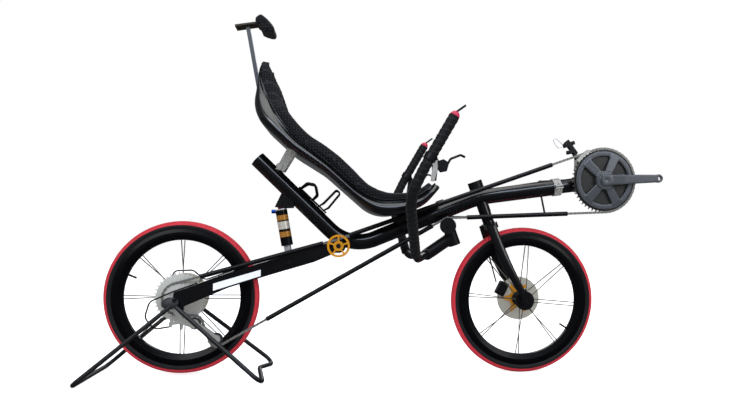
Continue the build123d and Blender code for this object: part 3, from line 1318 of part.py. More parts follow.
blade = blade + pipe([at(a, u, -GRIP_SIDE) for a, u in LEVER_BLADE], LEVER_BENDS, LEVER_R)
nodes["brake_levers"] = Compound(children=both_sides(blade - lever_bracket))

# Bottle cage on the main tube: a strip with two moulded arms and a wire loop round the bottle's foot
CAGE_ARM_R = 3.5
CAGE_WIRE_R = 2.2
CAGE_STRIP = [(346.0, 578.0), (430.0, 500.0), (433.0, 504.0), (350.0, 583.0)]
CAGE_STRIP_HALF = 9.0
CAGE_ARM = [
    # along, up, side
    (352.0, 576.0, 6.0),
    (374.0, 592.0, 30.0),
    (398.0, 588.0, 34.0),
    (404.0, 556.0, 30.0),
    (390.0, 542.0, 6.0),
]
CAGE_ARM_BENDS = [12.0, 10.0, 10.0]
CAGE_WIRE = [
    # along, up, side
    (408.0, 522.0, 6.0),
    (424.0, 532.0, 34.0),
    (463.0, 573.0, 34.0),
    (475.0, 563.0, 34.0),
    (438.0, 517.0, 34.0),
    (422.0, 509.0, 6.0),
]
CAGE_WIRE_BENDS = [6.0, 6.0, 6.0, 6.0]
cage_arm = pipe([at(a, u, -w) for a, u, w in CAGE_ARM], CAGE_ARM_BENDS, CAGE_ARM_R)
cage_wire = pipe([at(a, u, -w) for a, u, w in CAGE_WIRE], CAGE_WIRE_BENDS, CAGE_WIRE_R)
cage = side_plate(CAGE_STRIP, -CAGE_STRIP_HALF, CAGE_STRIP_HALF)
for side_piece in both_sides(cage_arm) + both_sides(cage_wire):
    cage = cage + side_piece
nodes["bottle_cage"] = cage - frame_body

# Cables: the shift cable's loop to the derailleur, and the two brake hoses
CABLE_R = 2.3
REAR_HOSE = [
    # along, up, side
    (-58.0, 282.0, 66.0),
    (-42.0, 316.0, 66.0),
    (14.0, 318.0, 68.0),
    (50.0, 286.5, 70.5),
    (145.0, 320.9, 70.5),
    (262.0, 357.0, 20.0),
    (420.0, 405.6, 12.0),
]
REAR_HOSE_BENDS = [16.0, 20.0, 20.0, 30.0, 30.0]
SHIFT_CABLE = [
    # along, up, side
    (60.0, 290.0, -70.5),
    (-10.0, 264.5, -70.5),
    (-74.0, 236.0, -73.0),
    (-88.0, 190.0, -73.0),
    (-60.0, 156.0, -73.0),
    (-16.0, 163.0, -72.0),
]
SHIFT_CABLE_BENDS = [30.0, 24.0, 24.0, 24.0]
FRONT_HOSE = [
    # along, up, side
    (988.0, 282.0, 57.0),
    (962.5, 368.5, 53.0),
    (928.5, 465.0, 44.0),
]
FRONT_HOSE_BENDS = [40.0]
rear_hose = pipe([at(*place) for place in REAR_HOSE], REAR_HOSE_BENDS, CABLE_R)
nodes["rear_hose"] = rear_hose - nodes["swingarm"] - nodes["rear_caliper"] - frame_body
shift_cable = pipe([at(*place) for place in SHIFT_CABLE], SHIFT_CABLE_BENDS, CABLE_R)
nodes["shift_cable"] = shift_cable - nodes["swingarm"] - nodes["rear_derailleur"]
front_hose = pipe([at(*place) for place in FRONT_HOSE], FRONT_HOSE_BENDS, CABLE_R)
nodes["front_hose"] = front_hose - nodes["fork"] - nodes["front_caliper"]

# Hanger that holds the lower front chain tube under the frame
HANGER_TOP = (1112.0, 574.0, -14.0)
HANGER_FOOT = (1115.0, 508.0, -45.0)
HANGER_R = 3.0
HANGER_RUN = 2
hanger_rod = rod(at(*HANGER_TOP), at(*HANGER_FOOT), HANGER_R)
for tube in tubes:
    hanger_rod = hanger_rod - tube
hanger_bore = rod(
    at(*runs[HANGER_RUN][0], -CHAIN_SIDE),
    at(*runs[HANGER_RUN][1], -CHAIN_SIDE),
    CHAIN_TUBE_R,
)
nodes["tube_hanger"] = hanger_rod - frame_body - hanger_bore

for name, shape in nodes.items():
    export_step(shape, f"parts/{name}.step")
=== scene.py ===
from math import acos, asin, atan2, cos, hypot, pi, radians, sin, tan

import bmesh
import bpy
from mathutils import Matrix, Vector
from mathutils.bvhtree import BVHTree
from mathutils.geometry import delaunay_2d_cdt


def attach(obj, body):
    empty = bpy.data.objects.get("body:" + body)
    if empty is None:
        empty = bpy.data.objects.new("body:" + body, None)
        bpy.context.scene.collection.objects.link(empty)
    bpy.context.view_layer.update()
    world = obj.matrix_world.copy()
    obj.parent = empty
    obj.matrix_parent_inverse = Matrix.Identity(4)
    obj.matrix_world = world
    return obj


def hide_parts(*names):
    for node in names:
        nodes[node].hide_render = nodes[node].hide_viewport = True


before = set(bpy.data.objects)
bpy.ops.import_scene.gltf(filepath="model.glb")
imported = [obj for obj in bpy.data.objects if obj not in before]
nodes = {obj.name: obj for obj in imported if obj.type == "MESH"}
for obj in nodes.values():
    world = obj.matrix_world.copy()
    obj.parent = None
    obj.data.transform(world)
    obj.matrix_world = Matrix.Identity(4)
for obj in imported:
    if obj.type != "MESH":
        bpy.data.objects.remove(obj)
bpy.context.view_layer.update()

scene = bpy.context.scene


# Camera at the photograph's place: about two metres off the right side of
# the cycle, at the height of its seat, turned slightly towards the front
# wheel. The shift gives the photograph's crop.
FOCAL_LENGTH_MM = 28.27
SENSOR_WIDTH_MM = 36.0
CAMERA_PLACE = Vector((-0.12034, -1.8475, 0.46179))
CAMERA_YAW = 0.0929
CAMERA_PITCH = 0.0064
CAMERA_ROLL = 0.0092
CAMERA_SHIFT = (-0.0322, 0.0303)
CAMERA_SEES_TO = 50.0


def put(name, data):
    thing = bpy.data.objects.new(name, data)
    scene.collection.objects.link(thing)
    return thing


camera = put("camera", bpy.data.cameras.new("camera"))
camera.data.sensor_width = SENSOR_WIDTH_MM
camera.data.lens = FOCAL_LENGTH_MM
camera.data.shift_x, camera.data.shift_y = CAMERA_SHIFT
camera.data.clip_end = CAMERA_SEES_TO
ahead = Vector((sin(CAMERA_YAW) * cos(CAMERA_PITCH), cos(CAMERA_YAW) * cos(CAMERA_PITCH), sin(CAMERA_PITCH)))
level_right = Vector((cos(CAMERA_YAW), -sin(CAMERA_YAW), 0.0))
level_up = level_right.cross(ahead)
right = level_right * cos(CAMERA_ROLL) + level_up * sin(CAMERA_ROLL)
axes = Matrix((right, right.cross(ahead), -ahead)).transposed().to_4x4()
camera.matrix_world = Matrix.Translation(CAMERA_PLACE) @ axes
scene.camera = camera


# Studio: a white paper floor under a white surround, with broad soft lamps.
# The paper shows white to the camera and takes the cycle's shadow. Gloss sees
# a dim room, so that only the lamps show in the black enamel.
PAPER_SIZE = 14.0
SKY_STRENGTH = 0.8
ROOM_REFLECTED = 0.12
PAPER_GLOW = 0.55
LAMPS_AIM = Vector((0.0, 0.0, 0.5))
SOFTBOXES = [
    # name, place, length, height, watts, colour
    ("overhead", (0.1, -0.4, 2.7), 2.2, 2.2, 30.0, "#FFFFFF"),
    ("long_strip", (0.1, -2.4, 2.2), 4.6, 0.8, 62.0, "#D2DEF2"),
    ("front_left", (-1.9, -2.3, 1.6), 1.3, 1.3, 14.0, "#FFFFFF"),
    ("front_right", (2.1, -2.0, 1.4), 1.2, 1.2, 11.0, "#FFFFFF"),
    ("behind", (0.2, 2.4, 1.8), 1.8, 1.8, 24.0, "#FFFFFF"),
]


def linear(code):
    parts = [int(code[i : i + 2], 16) / 255 for i in (1, 3, 5)]
    return [p / 12.92 if p <= 0.04045 else ((p + 0.055) / 1.055) ** 2.4 for p in parts] + [1.0]


def add(tree, kind, inputs=None, **settings):
    """Adds a node to the tree with its settings, values and links."""
    node = tree.nodes.new(kind)
    for name, value in settings.items():
        setattr(node, name, value)
    for name, value in (inputs or {}).items():
        if isinstance(value, bpy.types.NodeSocket):
            tree.links.new(value, node.inputs[name])
        else:
            node.inputs[name].default_value = value
    return node


def by_ray(tree, plain, reflected, looked_at):
    """Joins what gives light, what gloss reflects and what the camera sees."""
    path = add(tree, "ShaderNodeLightPath")
    unseen = add(
        tree,
        "ShaderNodeMixShader",
        {0: path.outputs["Is Glossy Ray"], 1: plain.outputs[0], 2: reflected.outputs[0]},
    )
    return add(
        tree,
        "ShaderNodeMixShader",
        {0: path.outputs["Is Camera Ray"], 1: unseen.outputs[0], 2: looked_at.outputs[0]},
    ).outputs[0]


scene.view_settings.view_transform = "Standard"
world = bpy.data.worlds.new("white surround")
world.use_nodes = True
scene.world = world
sky = world.node_tree
sky.nodes.clear()
soft_light, dim_room, white_view = [
    add(sky, "ShaderNodeBackground", {"Color": linear(code), "Strength": strength})
    for code, strength in (("#E8EBEE", SKY_STRENGTH), ("#E8EBEE", ROOM_REFLECTED), ("#FFFFFF", 1.0))
]
add(sky, "ShaderNodeOutputWorld", {"Surface": by_ray(sky, soft_light, dim_room, white_view)})

paper = bpy.data.materials.new("white paper sweep")
paper.use_nodes = True
sheet = paper.node_tree
sheet.nodes.clear()
paper_matt, paper_dim = [
    add(sheet, "ShaderNodeBsdfDiffuse", {"Color": linear(code), "Roughness": 0.9})
    for code in ("#F4F4F4", "#3A3A3C")
]
paper_glow = add(sheet, "ShaderNodeEmission", {"Color": linear("#FFFFFF"), "Strength": PAPER_GLOW})
paper_lit = add(sheet, "ShaderNodeAddShader", {0: paper_matt.outputs[0], 1: paper_glow.outputs[0]})
add(sheet, "ShaderNodeOutputMaterial", {"Surface": by_ray(sheet, paper_matt, paper_dim, paper_lit)})
half = PAPER_SIZE / 2
paper_mesh = bpy.data.meshes.new("paper_floor")
paper_corners = [(-half, -half, 0), (half, -half, 0), (half, half, 0), (-half, half, 0)]
paper_mesh.from_pydata(paper_corners, [], [(0, 1, 2, 3)])
paper_mesh.materials.append(paper)
paper_floor = put("paper_floor", paper_mesh)

for name, place, long_m, high_m, watts, tint_code in SOFTBOXES:
    lamp = put(name, bpy.data.lights.new(name, "AREA"))
    lamp.data.shape = "RECTANGLE"
    lamp.data.size = long_m
    lamp.data.size_y = high_m
    lamp.data.energy = watts
    lamp.data.color = linear(tint_code)[:3]
    lamp.location = place
    lamp.rotation_euler = (LAMPS_AIM - Vector(place)).to_track_quat("-Z", "Y").to_euler()


# Frame, boom, rear arm and fork: welded steel tube under gloss black enamel.
# The enamel is smooth with a faint orange peel, and it shows the softboxes
# as long pale streaks along each tube.
MM = 0.001
GRAIN_DEPTH_MM = 0.3


def per_mm(size_mm):
    """The scale that gives a noise or cell pattern features of this size."""
    return 1.0 / (size_mm * MM)


def new_finish(name, surface=None):
    """A material, its tree and its shader, with the shader's uniform values on its own sockets."""
    material = bpy.data.materials.new(name)
    material.use_nodes = True
    shader = material.node_tree.nodes["Principled BSDF"]
    for socket, value in (surface or {}).items():
        shader.inputs[socket].default_value = value
    return material, material.node_tree, shader


def mottled(name, low, high, size_mm, rough, bump, surface=None):
    """A finish whose colour, roughness and bump vary between their ends over noise of a size."""
    material, tree, shader = new_finish(name, surface)
    place = add(tree, "ShaderNodeTexCoord")
    grain = {"Vector": place.outputs["Object"], "Scale": per_mm(size_mm), "Detail": 4.0}
    noise = add(tree, "ShaderNodeTexNoise", grain).outputs["Fac"]
    tint = add(tree, "ShaderNodeMix", {0: noise, 6: linear(low), 7: linear(high)}, data_type="RGBA")
    tree.links.new(tint.outputs[2], shader.inputs["Base Color"])
    polish = add(tree, "ShaderNodeMapRange", {"Value": noise, "To Min": rough[0], "To Max": rough[1]})
    tree.links.new(polish.outputs[0], shader.inputs["Roughness"])
    relief = add(tree, "ShaderNodeBump", {"Height": noise, "Strength": bump, "Distance": GRAIN_DEPTH_MM * MM})
    tree.links.new(relief.outputs[0], shader.inputs["Normal"])
    return material


def dress(material, *names):
    for name in names:
        nodes[name].data.materials.clear()
        nodes[name].data.materials.append(material)


enamel = mottled(
    "gloss black enamel",
    "#050506",
    "#0B0B0D",
    3.0,
    (0.16, 0.24),
    0.02,
    {"Specular IOR Level": 0.5, "Coat Weight": 0.5, "Coat Roughness": 0.05},
)
dress(enamel, "main_frame", "boom", "swingarm", "fork", "shock_bracket")


# Blank white sticker on each side of the rear arm, printed vinyl that lies
# flat on the box tube and follows its slope.
REAR_AXLE_X = -608.1754
STICKER_CORNERS = [
    # along, up: the corners on the tube's side, from the lower rear one round
    (106.0, 268.0), (238.0, 308.5), (238.0, 327.5), (106.0, 289.0),
]
STICKER_COLUMNS = 24
STICKER_ROWS = 6
STICKER_LIFTS_MM = (0.35, 0.0875)
STICKER_FROM_MM = 300.0


def at(along, up, side=0.0):
    """A place from millimetres ahead of the rear axle, above the floor and to the left."""
    return Vector(((REAR_AXLE_X + along) * MM, side * MM, up * MM))


def new_piece(name, mesh, material, body):
    mesh.materials.clear()
    mesh.materials.append(material)
    piece = put(name, mesh)
    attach(piece, body)
    return piece


def as_mesh(name, shape, smooth=False):
    """The shape as a mesh, with its faces turned outwards."""
    bmesh.ops.recalc_face_normals(shape, faces=shape.faces)
    mesh = bpy.data.meshes.new(name)
    shape.to_mesh(mesh)
    shape.free()
    if smooth:
        mesh.shade_smooth()
    return mesh


def faced(name, points, faces, smooth=False):
    shape = bmesh.new()
    corners = [shape.verts.new(p) for p in points]
    for face in faces:
        shape.faces.new([corners[k] for k in face])
    return as_mesh(name, shape, smooth)


vinyl = mottled("white printed vinyl", "#DADBDD", "#ECECEE", 14.0, (0.32, 0.42), 0.04)
arm_surface = BVHTree.FromObject(nodes["swingarm"], bpy.context.evaluated_depsgraph_get())
rear_low, front_low, front_high, rear_high = [Vector(corner) for corner in STICKER_CORNERS]
wide = STICKER_COLUMNS + 1
layer = wide * (STICKER_ROWS + 1)
sticker_faces = []
for row in range(STICKER_ROWS):
    for column in range(STICKER_COLUMNS):
        a = row * wide + column
        sticker_faces.append((a, a + 1, a + 1 + wide, a + wide))
        sticker_faces.append((a + wide + layer, a + 1 + wide + layer, a + 1 + layer, a + layer))
edge = list(range(wide)) + [row * wide + wide - 1 for row in range(1, STICKER_ROWS + 1)]
edge += [STICKER_ROWS * wide + column for column in reversed(range(wide - 1))]
edge += [row * wide for row in reversed(range(1, STICKER_ROWS))]
for a, b in zip(edge, edge[1:] + edge[:1]):
    sticker_faces.append((b, a, a + layer, b + layer))
for name, side_sign in (("arm_sticker_right", -1), ("arm_sticker_left", 1)):
    inward = Vector((0.0, -side_sign, 0.0))
    points = []
    for lift in STICKER_LIFTS_MM:
        for row in range(STICKER_ROWS + 1):
            for column in range(STICKER_COLUMNS + 1):
                low = rear_low.lerp(front_low, column / STICKER_COLUMNS)
                high = rear_high.lerp(front_high, column / STICKER_COLUMNS)
                spot = low.lerp(high, row / STICKER_ROWS)
                hit = arm_surface.ray_cast(at(*spot, side_sign * STICKER_FROM_MM), inward)[0]
                points.append(hit - inward * (lift * MM))
    new_piece(name, faced(name, points, sticker_faces), vinyl, "frame")


# Machined and anodised alloy: clamps, hubs, levers and calipers. Black
# anodising is satin with a slight grey bloom, and blasted alloy is matt.
black_alloy = mottled(
    "black anodised aluminium", "#08080A", "#121214", 1.6, (0.3, 0.46), 0.1, {"Specular IOR Level": 0.25}
)
dress(black_alloy, "seat_mount", "rear_hub", "front_hub", "head_cap", "return_idler", "handlebar")
dress(black_alloy, "shift_levers", "brake_levers", "lever_brackets", "steering_rod")
silver_alloy = mottled(
    "bead blasted aluminium", "#96948F", "#AFADA8", 7.0, (0.3, 0.4), 0.02, {"Metallic": 0.35}
)
dress(silver_alloy, "boom_clamp", "seat_strut", "derailleur_cage", "derailleur_post")
grey_alloy = mottled(
    "dark grey anodised aluminium", "#333538", "#4A4C50", 1.6, (0.3, 0.42), 0.08, {"Metallic": 0.4}
)
dress(grey_alloy, "headrest_post")
bronze_alloy = mottled(
    "dark bronze anodised aluminium", "#1E170B", "#33270F", 1.6, (0.35, 0.5), 0.08, {"Metallic": 0.3}
)
dress(bronze_alloy, "headrest_plate")
gold_alloy = mottled(
    "gold anodised aluminium", "#D98A12", "#F0A82A", 1.0, (0.24, 0.36), 0.08, {"Metallic": 0.4}
)
dress(gold_alloy, "power_idler")


# Plain steel: the damper's polished shaft and oxide-black bolts and axles,
# all turned bar with a fine lathe finish.
polished_steel = mottled("polished steel", "#B4B6BA", "#D2D4D6", 2.0, (0.14, 0.26), 0.04, {"Metallic": 0.5})
dress(polished_steel, "shock_shaft")
oxide_steel = mottled("black oxide steel", "#1A1A1C", "#2C2C2F", 1.0, (0.35, 0.5), 0.1, {"Metallic": 0.8})
dress(oxide_steel, "pivot_bolts", "tube_hanger", "rear_axle", "return_idler_bolt", "front_axle")


# Damper: a black air can with bronze bands and a blank pale label, over a
# polished shaft, with a blue anodised knob at its head.
SHOCK_HEAD = at(290.0, 527.0)
SHOCK_FOOT = at(322.0, 351.0)
SHOCK_BANDS = [
    # share of the way from head to foot where each band starts, and its colour
    (0.0, "#0B0B0C"), (0.055, "#B0242C"), (0.075, "#C9CACC"), (0.10, "#0B0B0C"), (0.19, "#B98038"),
    (0.275, "#0B0B0C"), (0.30, "#D8D3C4"), (0.43, "#0B0B0C"), (0.475, "#B98038"), (0.57, "#0B0B0C"),
]
CAN_GRAIN_MM = 0.8
air_can, can_tree, can_shader = new_finish("air can, black and bronze anodised", {"Metallic": 0.5})
can_place = add(can_tree, "ShaderNodeTexCoord").outputs["Object"]
can_axis = SHOCK_FOOT - SHOCK_HEAD
can_offset = add(can_tree, "ShaderNodeVectorMath", {0: can_place, 1: SHOCK_HEAD}, operation="SUBTRACT")
can_along = add(
    can_tree,
    "ShaderNodeVectorMath",
    {0: can_offset.outputs[0], 1: can_axis / can_axis.length_squared},
    operation="DOT_PRODUCT",
)
can_ramp = add(can_tree, "ShaderNodeValToRGB", {"Fac": can_along.outputs["Value"]})
bands = can_ramp.color_ramp
bands.interpolation = "CONSTANT"
bands.elements[0].color = linear(SHOCK_BANDS[0][1])
bands.elements[1].position = SHOCK_BANDS[-1][0]
bands.elements[1].color = linear(SHOCK_BANDS[-1][1])
for share, colour in SHOCK_BANDS[1:-1]:
    bands.elements.new(share).color = linear(colour)
can_tree.links.new(can_ramp.outputs[0], can_shader.inputs["Base Color"])
can_noise = add(can_tree, "ShaderNodeTexNoise", {"Vector": can_place, "Scale": per_mm(CAN_GRAIN_MM)})
can_polish = {"Value": can_noise.outputs["Fac"], "To Min": 0.2, "To Max": 0.34}
can_rough = add(can_tree, "ShaderNodeMapRange", can_polish)
can_tree.links.new(can_rough.outputs[0], can_shader.inputs["Roughness"])
dress(air_can, "shock_body")
blue_alloy = mottled(
    "blue anodised aluminium", "#1C3F9E", "#2A57C4", 0.9, (0.25, 0.36), 0.06, {"Metallic": 0.85}
)
dress(blue_alloy, "shock_knob")


# Seat shell: a wet-laid laminate bucket under thick clear lacquer. The weave
# only just shows through as a fine dark twill, and the sides lean in above
# the belly, so that they hold a long pale reflection under the rim's lip.
SEAT_POINTS = [
    # along, up: the middle of the bucket's underside, from the top to the nose
    (240.5, 963.0), (214.0, 785.0), (330.0, 680.0), (425.0, 622.0),
    (575.0, 492.0), (640.0, 493.5), (722.0, 521.0), (776.0, 582.0),
]
SEAT_ARCS = [110.0, 160.0, 150.0, 110.0, 140.0, 110.0]
RIM_LINE = [
    # along, up: the bucket's rim in side view, from the top to the nose
    (223.0, 918.0), (230.0, 916.0), (237.0, 902.0), (246.0, 879.0), (261.0, 841.0), (281.0, 802.0),
    (303.0, 767.0), (329.0, 733.0), (360.0, 705.0), (400.0, 676.0), (436.0, 648.0), (472.0, 618.0),
    (503.0, 590.0), (529.0, 568.0), (560.0, 550.0), (591.0, 541.0), (627.0, 541.0), (669.0, 544.0),
    (695.0, 550.0), (718.0, 564.0), (742.0, 584.0), (760.0, 597.0), (776.0, 608.0),
]
PAD_LINE = [
    # along, up: the pad's upper edge in side view, from the top to the nose
    (227.0, 941.0), (235.0, 945.0), (246.0, 946.0), (258.0, 942.0), (269.0, 928.0), (280.0, 909.0),
    (292.0, 877.0), (304.0, 840.0), (315.0, 810.0), (327.0, 791.0), (343.0, 770.0), (364.0, 746.0),
    (390.0, 723.0), (431.0, 696.0), (477.0, 661.0), (508.0, 632.0), (534.0, 606.0), (560.0, 583.0),
    (586.0, 570.0), (612.0, 562.0), (643.0, 560.0), (674.0, 562.0), (698.0, 566.0), (718.0, 579.0),
    (737.0, 594.0), (752.0, 601.0), (771.0, 603.0),
]
SHELL_SECTION = [
    # share of the half width, share of the rim's height: outside, lip, inside
    (0.0, 0.0), (0.3, 0.0), (0.6, 0.0), (0.76, 0.02), (0.88, 0.09), (0.96, 0.22), (0.995, 0.36),
    (1.0, 0.46), (0.985, 0.58), (0.958, 0.72), (0.932, 0.84), (0.93, 0.9), (0.966, 0.95),
    (0.99, 0.975), (0.995, 0.99), (0.985, 1.0), (0.965, 1.0), (0.94, 0.98), (0.91, 0.9), (0.92, 0.7),
    (0.945, 0.5), (0.925, 0.3), (0.84, 0.15), (0.7, 0.095), (0.5, 0.09), (0.25, 0.09),
]
SEAT_HALF_MM = 150.0
SEAT_TOP_HALF_MM = 88.0
SEAT_WIDENS_MM = 300.0
SEAT_ROUND_MM = 44.0
SEAT_STEP_MM = 8.0
SEAT_EASING = 3
RIM_HIGH_MM = 60.0
PAD_HIGH_MM = 96.0
PAD_LEAST_MM = 14.0
SHELL_ENDS_MM = (18.0, 2.0)
TWILL_MM = 2.4
laminate, laminate_tree, laminate_shader = new_finish(
    "lacquered carbon laminate",
    {"Roughness": 0.28, "Specular IOR Level": 0.6, "Coat Weight": 0.9, "Coat Roughness": 0.04},
)
twill_place = add(laminate_tree, "ShaderNodeTexCoord").outputs["Object"]
slant = {"Vector": twill_place, "Rotation": (0.0, radians(45), 0.0)}
twill_turn = add(laminate_tree, "ShaderNodeMapping", slant)
weave = {"Color1": linear("#040405"), "Color2": linear("#0A0A0C"), "Scale": per_mm(TWILL_MM)}
twill = add(laminate_tree, "ShaderNodeTexChecker", {"Vector": twill_turn.outputs[0], **weave})
laminate_tree.links.new(twill.outputs["Color"], laminate_shader.inputs["Base Color"])


def arc_line(points, arcs, step):
    """Points and unit directions every step along straight runs that arcs join, from 3-D corners in mm."""
    corners = [Vector(p) for p in points]
    line = [corners[0]]
    for before, corner, after, arc in zip(corners, corners[1:], corners[2:], arcs):
        arrive = (corner - before).normalized()
        leave = (after - corner).normalized()
        turn = acos(max(-1.0, min(1.0, arrive.dot(leave))))
        reach = arc * tan(turn / 2)
        middle = corner + (leave - arrive).normalized() * (arc / cos(turn / 2))
        bulge = (corner - arrive * reach - middle).normalized()
        across = (arrive - bulge * arrive.dot(bulge)).normalized()
        pieces = max(3, int(arc * turn / step))
        for index in range(pieces + 1):
            angle = turn * index / pieces
            line.append(middle + (bulge * cos(angle) + across * sin(angle)) * arc)
    line.append(corners[-1])
    even = []
    carried = 0.0
    for a, b in zip(line, line[1:]):
        gap = (b - a).length
        while carried <= gap and gap > 0:
            even.append((a + (b - a) * (carried / gap), (b - a).normalized()))
            carried += step
        carried -= gap
    even.append((line[-1], even[-1][1]))
    return even


def skin(name, rings, smooth=True):
    """A closed mesh through rings of equal numbers of points."""
    count = len(rings[0])
    points = [p for ring in rings for p in ring]
    faces = []
    for row in range(len(rings) - 1):
        for column in range(count):
            a = row * count + column
            b = row * count + (column + 1) % count
            faces.append((a, b, b + count, a + count))
    faces.append(tuple(reversed(range(count))))
    faces.append(tuple(range(len(points) - count, len(points))))
    return faced(name, points, faces, smooth)


def height_to(line, base, up_way, most):
    """How far a side view's line lies above a base point along a direction, up to a most."""
    found = None
    for (a0, u0), (a1, u1) in zip(line, line[1:]):
        da, du = a1 - a0, u1 - u0
        cross = up_way[0] * du - up_way[1] * da
        if abs(cross) > 1e-9:
            reach = ((a0 - base.x) * du - (u0 - base.z) * da) / cross
            share = ((a0 - base.x) * up_way[1] - (u0 - base.z) * up_way[0]) / cross
            if 0.0 <= share <= 1.0 and 0.0 < reach < most and (found is None or reach < found):
                found = reach
    return found


def seat_heights(line, most):
    """Heights along the seat, with gaps filled from their neighbours and steps smoothed."""
    values = [height_to(line, place, way, most) for (place, _), way in zip(seat_line, seat_ways)]
    last = next(value for value in values if value is not None)
    for index, value in enumerate(values):
        last = last if value is None else value
        values[index] = last
    for _ in range(SEAT_EASING):
        padded = values[:1] + values + values[-1:]
        values = [(a + b * 2 + c) / 4 for a, b, c in zip(padded, padded[1:], padded[2:])]
    return values


seat_line = arc_line([(a, 0.0, u) for a, u in SEAT_POINTS], SEAT_ARCS, SEAT_STEP_MM)
seat_ways = [(-heading.z, heading.x) for place, heading in seat_line]
rim_heights = seat_heights(RIM_LINE, RIM_HIGH_MM)
pad_heights = seat_heights(PAD_LINE, PAD_HIGH_MM)
seat_long = SEAT_STEP_MM * (len(seat_line) - 1)


def seat_rings(section, start_mm, end_mm):
    """Rings along the seat from its section, narrowed round both ends."""
    rings = []
    for index, ((place, heading), way) in enumerate(zip(seat_line, seat_ways)):
        run = index * SEAT_STEP_MM
        if run < start_mm or run > seat_long - end_mm:
            continue
        to_end = min(run - start_mm, seat_long - end_mm - run, SEAT_ROUND_MM) + 1.0
        short = SEAT_ROUND_MM - min(to_end, SEAT_ROUND_MM)
        inset = SEAT_ROUND_MM - max(0.0, SEAT_ROUND_MM**2 - short**2) ** 0.5
        ease_in = min(1.0, run / SEAT_WIDENS_MM)
        widened = ease_in * ease_in * (3.0 - 2.0 * ease_in)
        half_mm = SEAT_TOP_HALF_MM + (SEAT_HALF_MM - SEAT_TOP_HALF_MM) * widened - inset
        rim = rim_heights[index]
        pad = max(rim + PAD_LEAST_MM, pad_heights[index])
        profile = []
        for row in section:
            high = row[1] * rim + (row[2] * (pad - rim) if len(row) > 2 else 0.0)
            profile.append((row[0] * half_mm, high))
        both = profile + [(-out, high) for out, high in reversed(profile) if out > 0]
        rings.append([at(place.x + way[0] * high, place.z + way[1] * high, out) for out, high in both])
    return rings


shell_mesh = skin("lacquered_shell", seat_rings(SHELL_SECTION, *SHELL_ENDS_MM))
lacquered_shell = new_piece("lacquered_shell", shell_mesh, laminate, "frame")
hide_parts("seat_shell")


# Seat pad: a thick open spacer mesh cut to the bucket, with raised sides and
# a rounded nose. It is blown up a little as cloth, so that its sides crown.
HONEYCOMB_MM = 8.0
HONEYCOMB_DEPTH_MM = 1.0
PAD_SECTION = [
    # share of the half width, share of the rim's height, share of the pad's height
    (0.0, 0.1, 0.0), (0.3, 0.1, 0.0), (0.6, 0.1, 0.0), (0.8, 0.16, 0.0), (0.9, 0.32, 0.0),
    (0.92, 0.5, 0.0), (0.905, 0.75, 0.0), (0.9, 0.95, 0.0), (0.915, 1.0, 0.3), (0.915, 1.0, 0.6),
    (0.9, 1.0, 0.85), (0.885, 1.0, 0.97), (0.85, 1.0, 1.0), (0.8, 1.0, 0.93), (0.74, 1.0, 0.7),
    (0.68, 1.0, 0.3), (0.6, 0.85, 0.0), (0.45, 0.72, 0.0), (0.2, 0.66, 0.0),
]
PAD_ENDS_MM = (4.0, 10.0)
PAD_VOXEL_MM = 4.5
CLOTH_FRAMES = 20
CLOTH_PRESSURE = 4.0
CLOTH_MOST_MM = 2.0
CLOTH_EASE = 6


def plain_mesh(piece):
    """The piece as Blender's modifiers leave it, as a plain mesh."""
    graph = bpy.context.evaluated_depsgraph_get()
    return bpy.data.meshes.new_from_object(piece.evaluated_get(graph), depsgraph=graph)


def baked(piece, smooth=True):
    """The mesh of a helper object, which goes once its mesh is made."""
    mesh = plain_mesh(piece)
    piece.modifiers.clear()
    bpy.data.objects.remove(piece)
    if smooth:
        mesh.shade_smooth()
    return mesh


def voxels(piece, voxel_mm):
    remesh = piece.modifiers.new("remesh", "REMESH")
    remesh.mode = "VOXEL"
    remesh.voxel_size = voxel_mm * MM


def eased(piece, rounds):
    ease = piece.modifiers.new("ease", "SMOOTH")
    ease.iterations = rounds
    ease.factor = 0.5
    return baked(piece)


def swell(name, mesh, voxel_mm):
    """Blows a form up as cloth, holds each point close to its start, and smooths it."""
    piece = put(name, mesh)
    voxels(piece, voxel_mm)
    start = plain_mesh(piece)
    piece.modifiers.clear()
    piece.data = start
    cloth = piece.modifiers.new("cloth", "CLOTH")
    cloth.settings.use_pressure = True
    cloth.settings.uniform_pressure_force = CLOTH_PRESSURE
    cloth.settings.effector_weights.gravity = 0.0
    cloth.point_cache.frame_end = CLOTH_FRAMES
    for number in range(1, CLOTH_FRAMES + 1):
        scene.frame_set(number)
    blown = plain_mesh(piece)
    for vertex, moved in zip(start.vertices, blown.vertices):
        shift = moved.co - vertex.co
        if shift.length > CLOTH_MOST_MM * MM:
            shift = shift.normalized() * (CLOTH_MOST_MM * MM)
        vertex.co = vertex.co + shift
    piece.modifiers.clear()
    scene.frame_set(1)
    return eased(piece, CLOTH_EASE)


pad_mesh = swell("seat_cushion", skin("seat_cushion", seat_rings(PAD_SECTION, *PAD_ENDS_MM)), PAD_VOXEL_MM)
spacer_mesh, spacer_tree, spacer_shader = new_finish(
    "black spacer mesh fabric", {"Roughness": 0.7, "Specular IOR Level": 0.15, "Sheen Weight": 0.04}
)
spacer_place = add(spacer_tree, "ShaderNodeTexCoord").outputs["Object"]
cells = add(
    spacer_tree,
    "ShaderNodeTexVoronoi",
    {"Vector": spacer_place, "Scale": per_mm(HONEYCOMB_MM), "Randomness": 0.25},
    feature="DISTANCE_TO_EDGE",
)
opening = {"Value": cells.outputs["Distance"], "From Min": 0.05, "From Max": 0.12}
hole = add(spacer_tree, "ShaderNodeMapRange", opening).outputs[0]
# The threads keep the fabric's own dark grey. The holes between them are painted near black as painted shade
# inside them.
thread_and_hole_shade_tints = {0: hole, 6: linear("#232327"), 7: linear("#010101")}
thread_and_hole_shade = add(spacer_tree, "ShaderNodeMix", thread_and_hole_shade_tints, data_type="RGBA")
spacer_tree.links.new(thread_and_hole_shade.outputs[2], spacer_shader.inputs["Base Color"])
sunk = {"Height": hole, "Strength": 0.5, "Distance": HONEYCOMB_DEPTH_MM * MM}
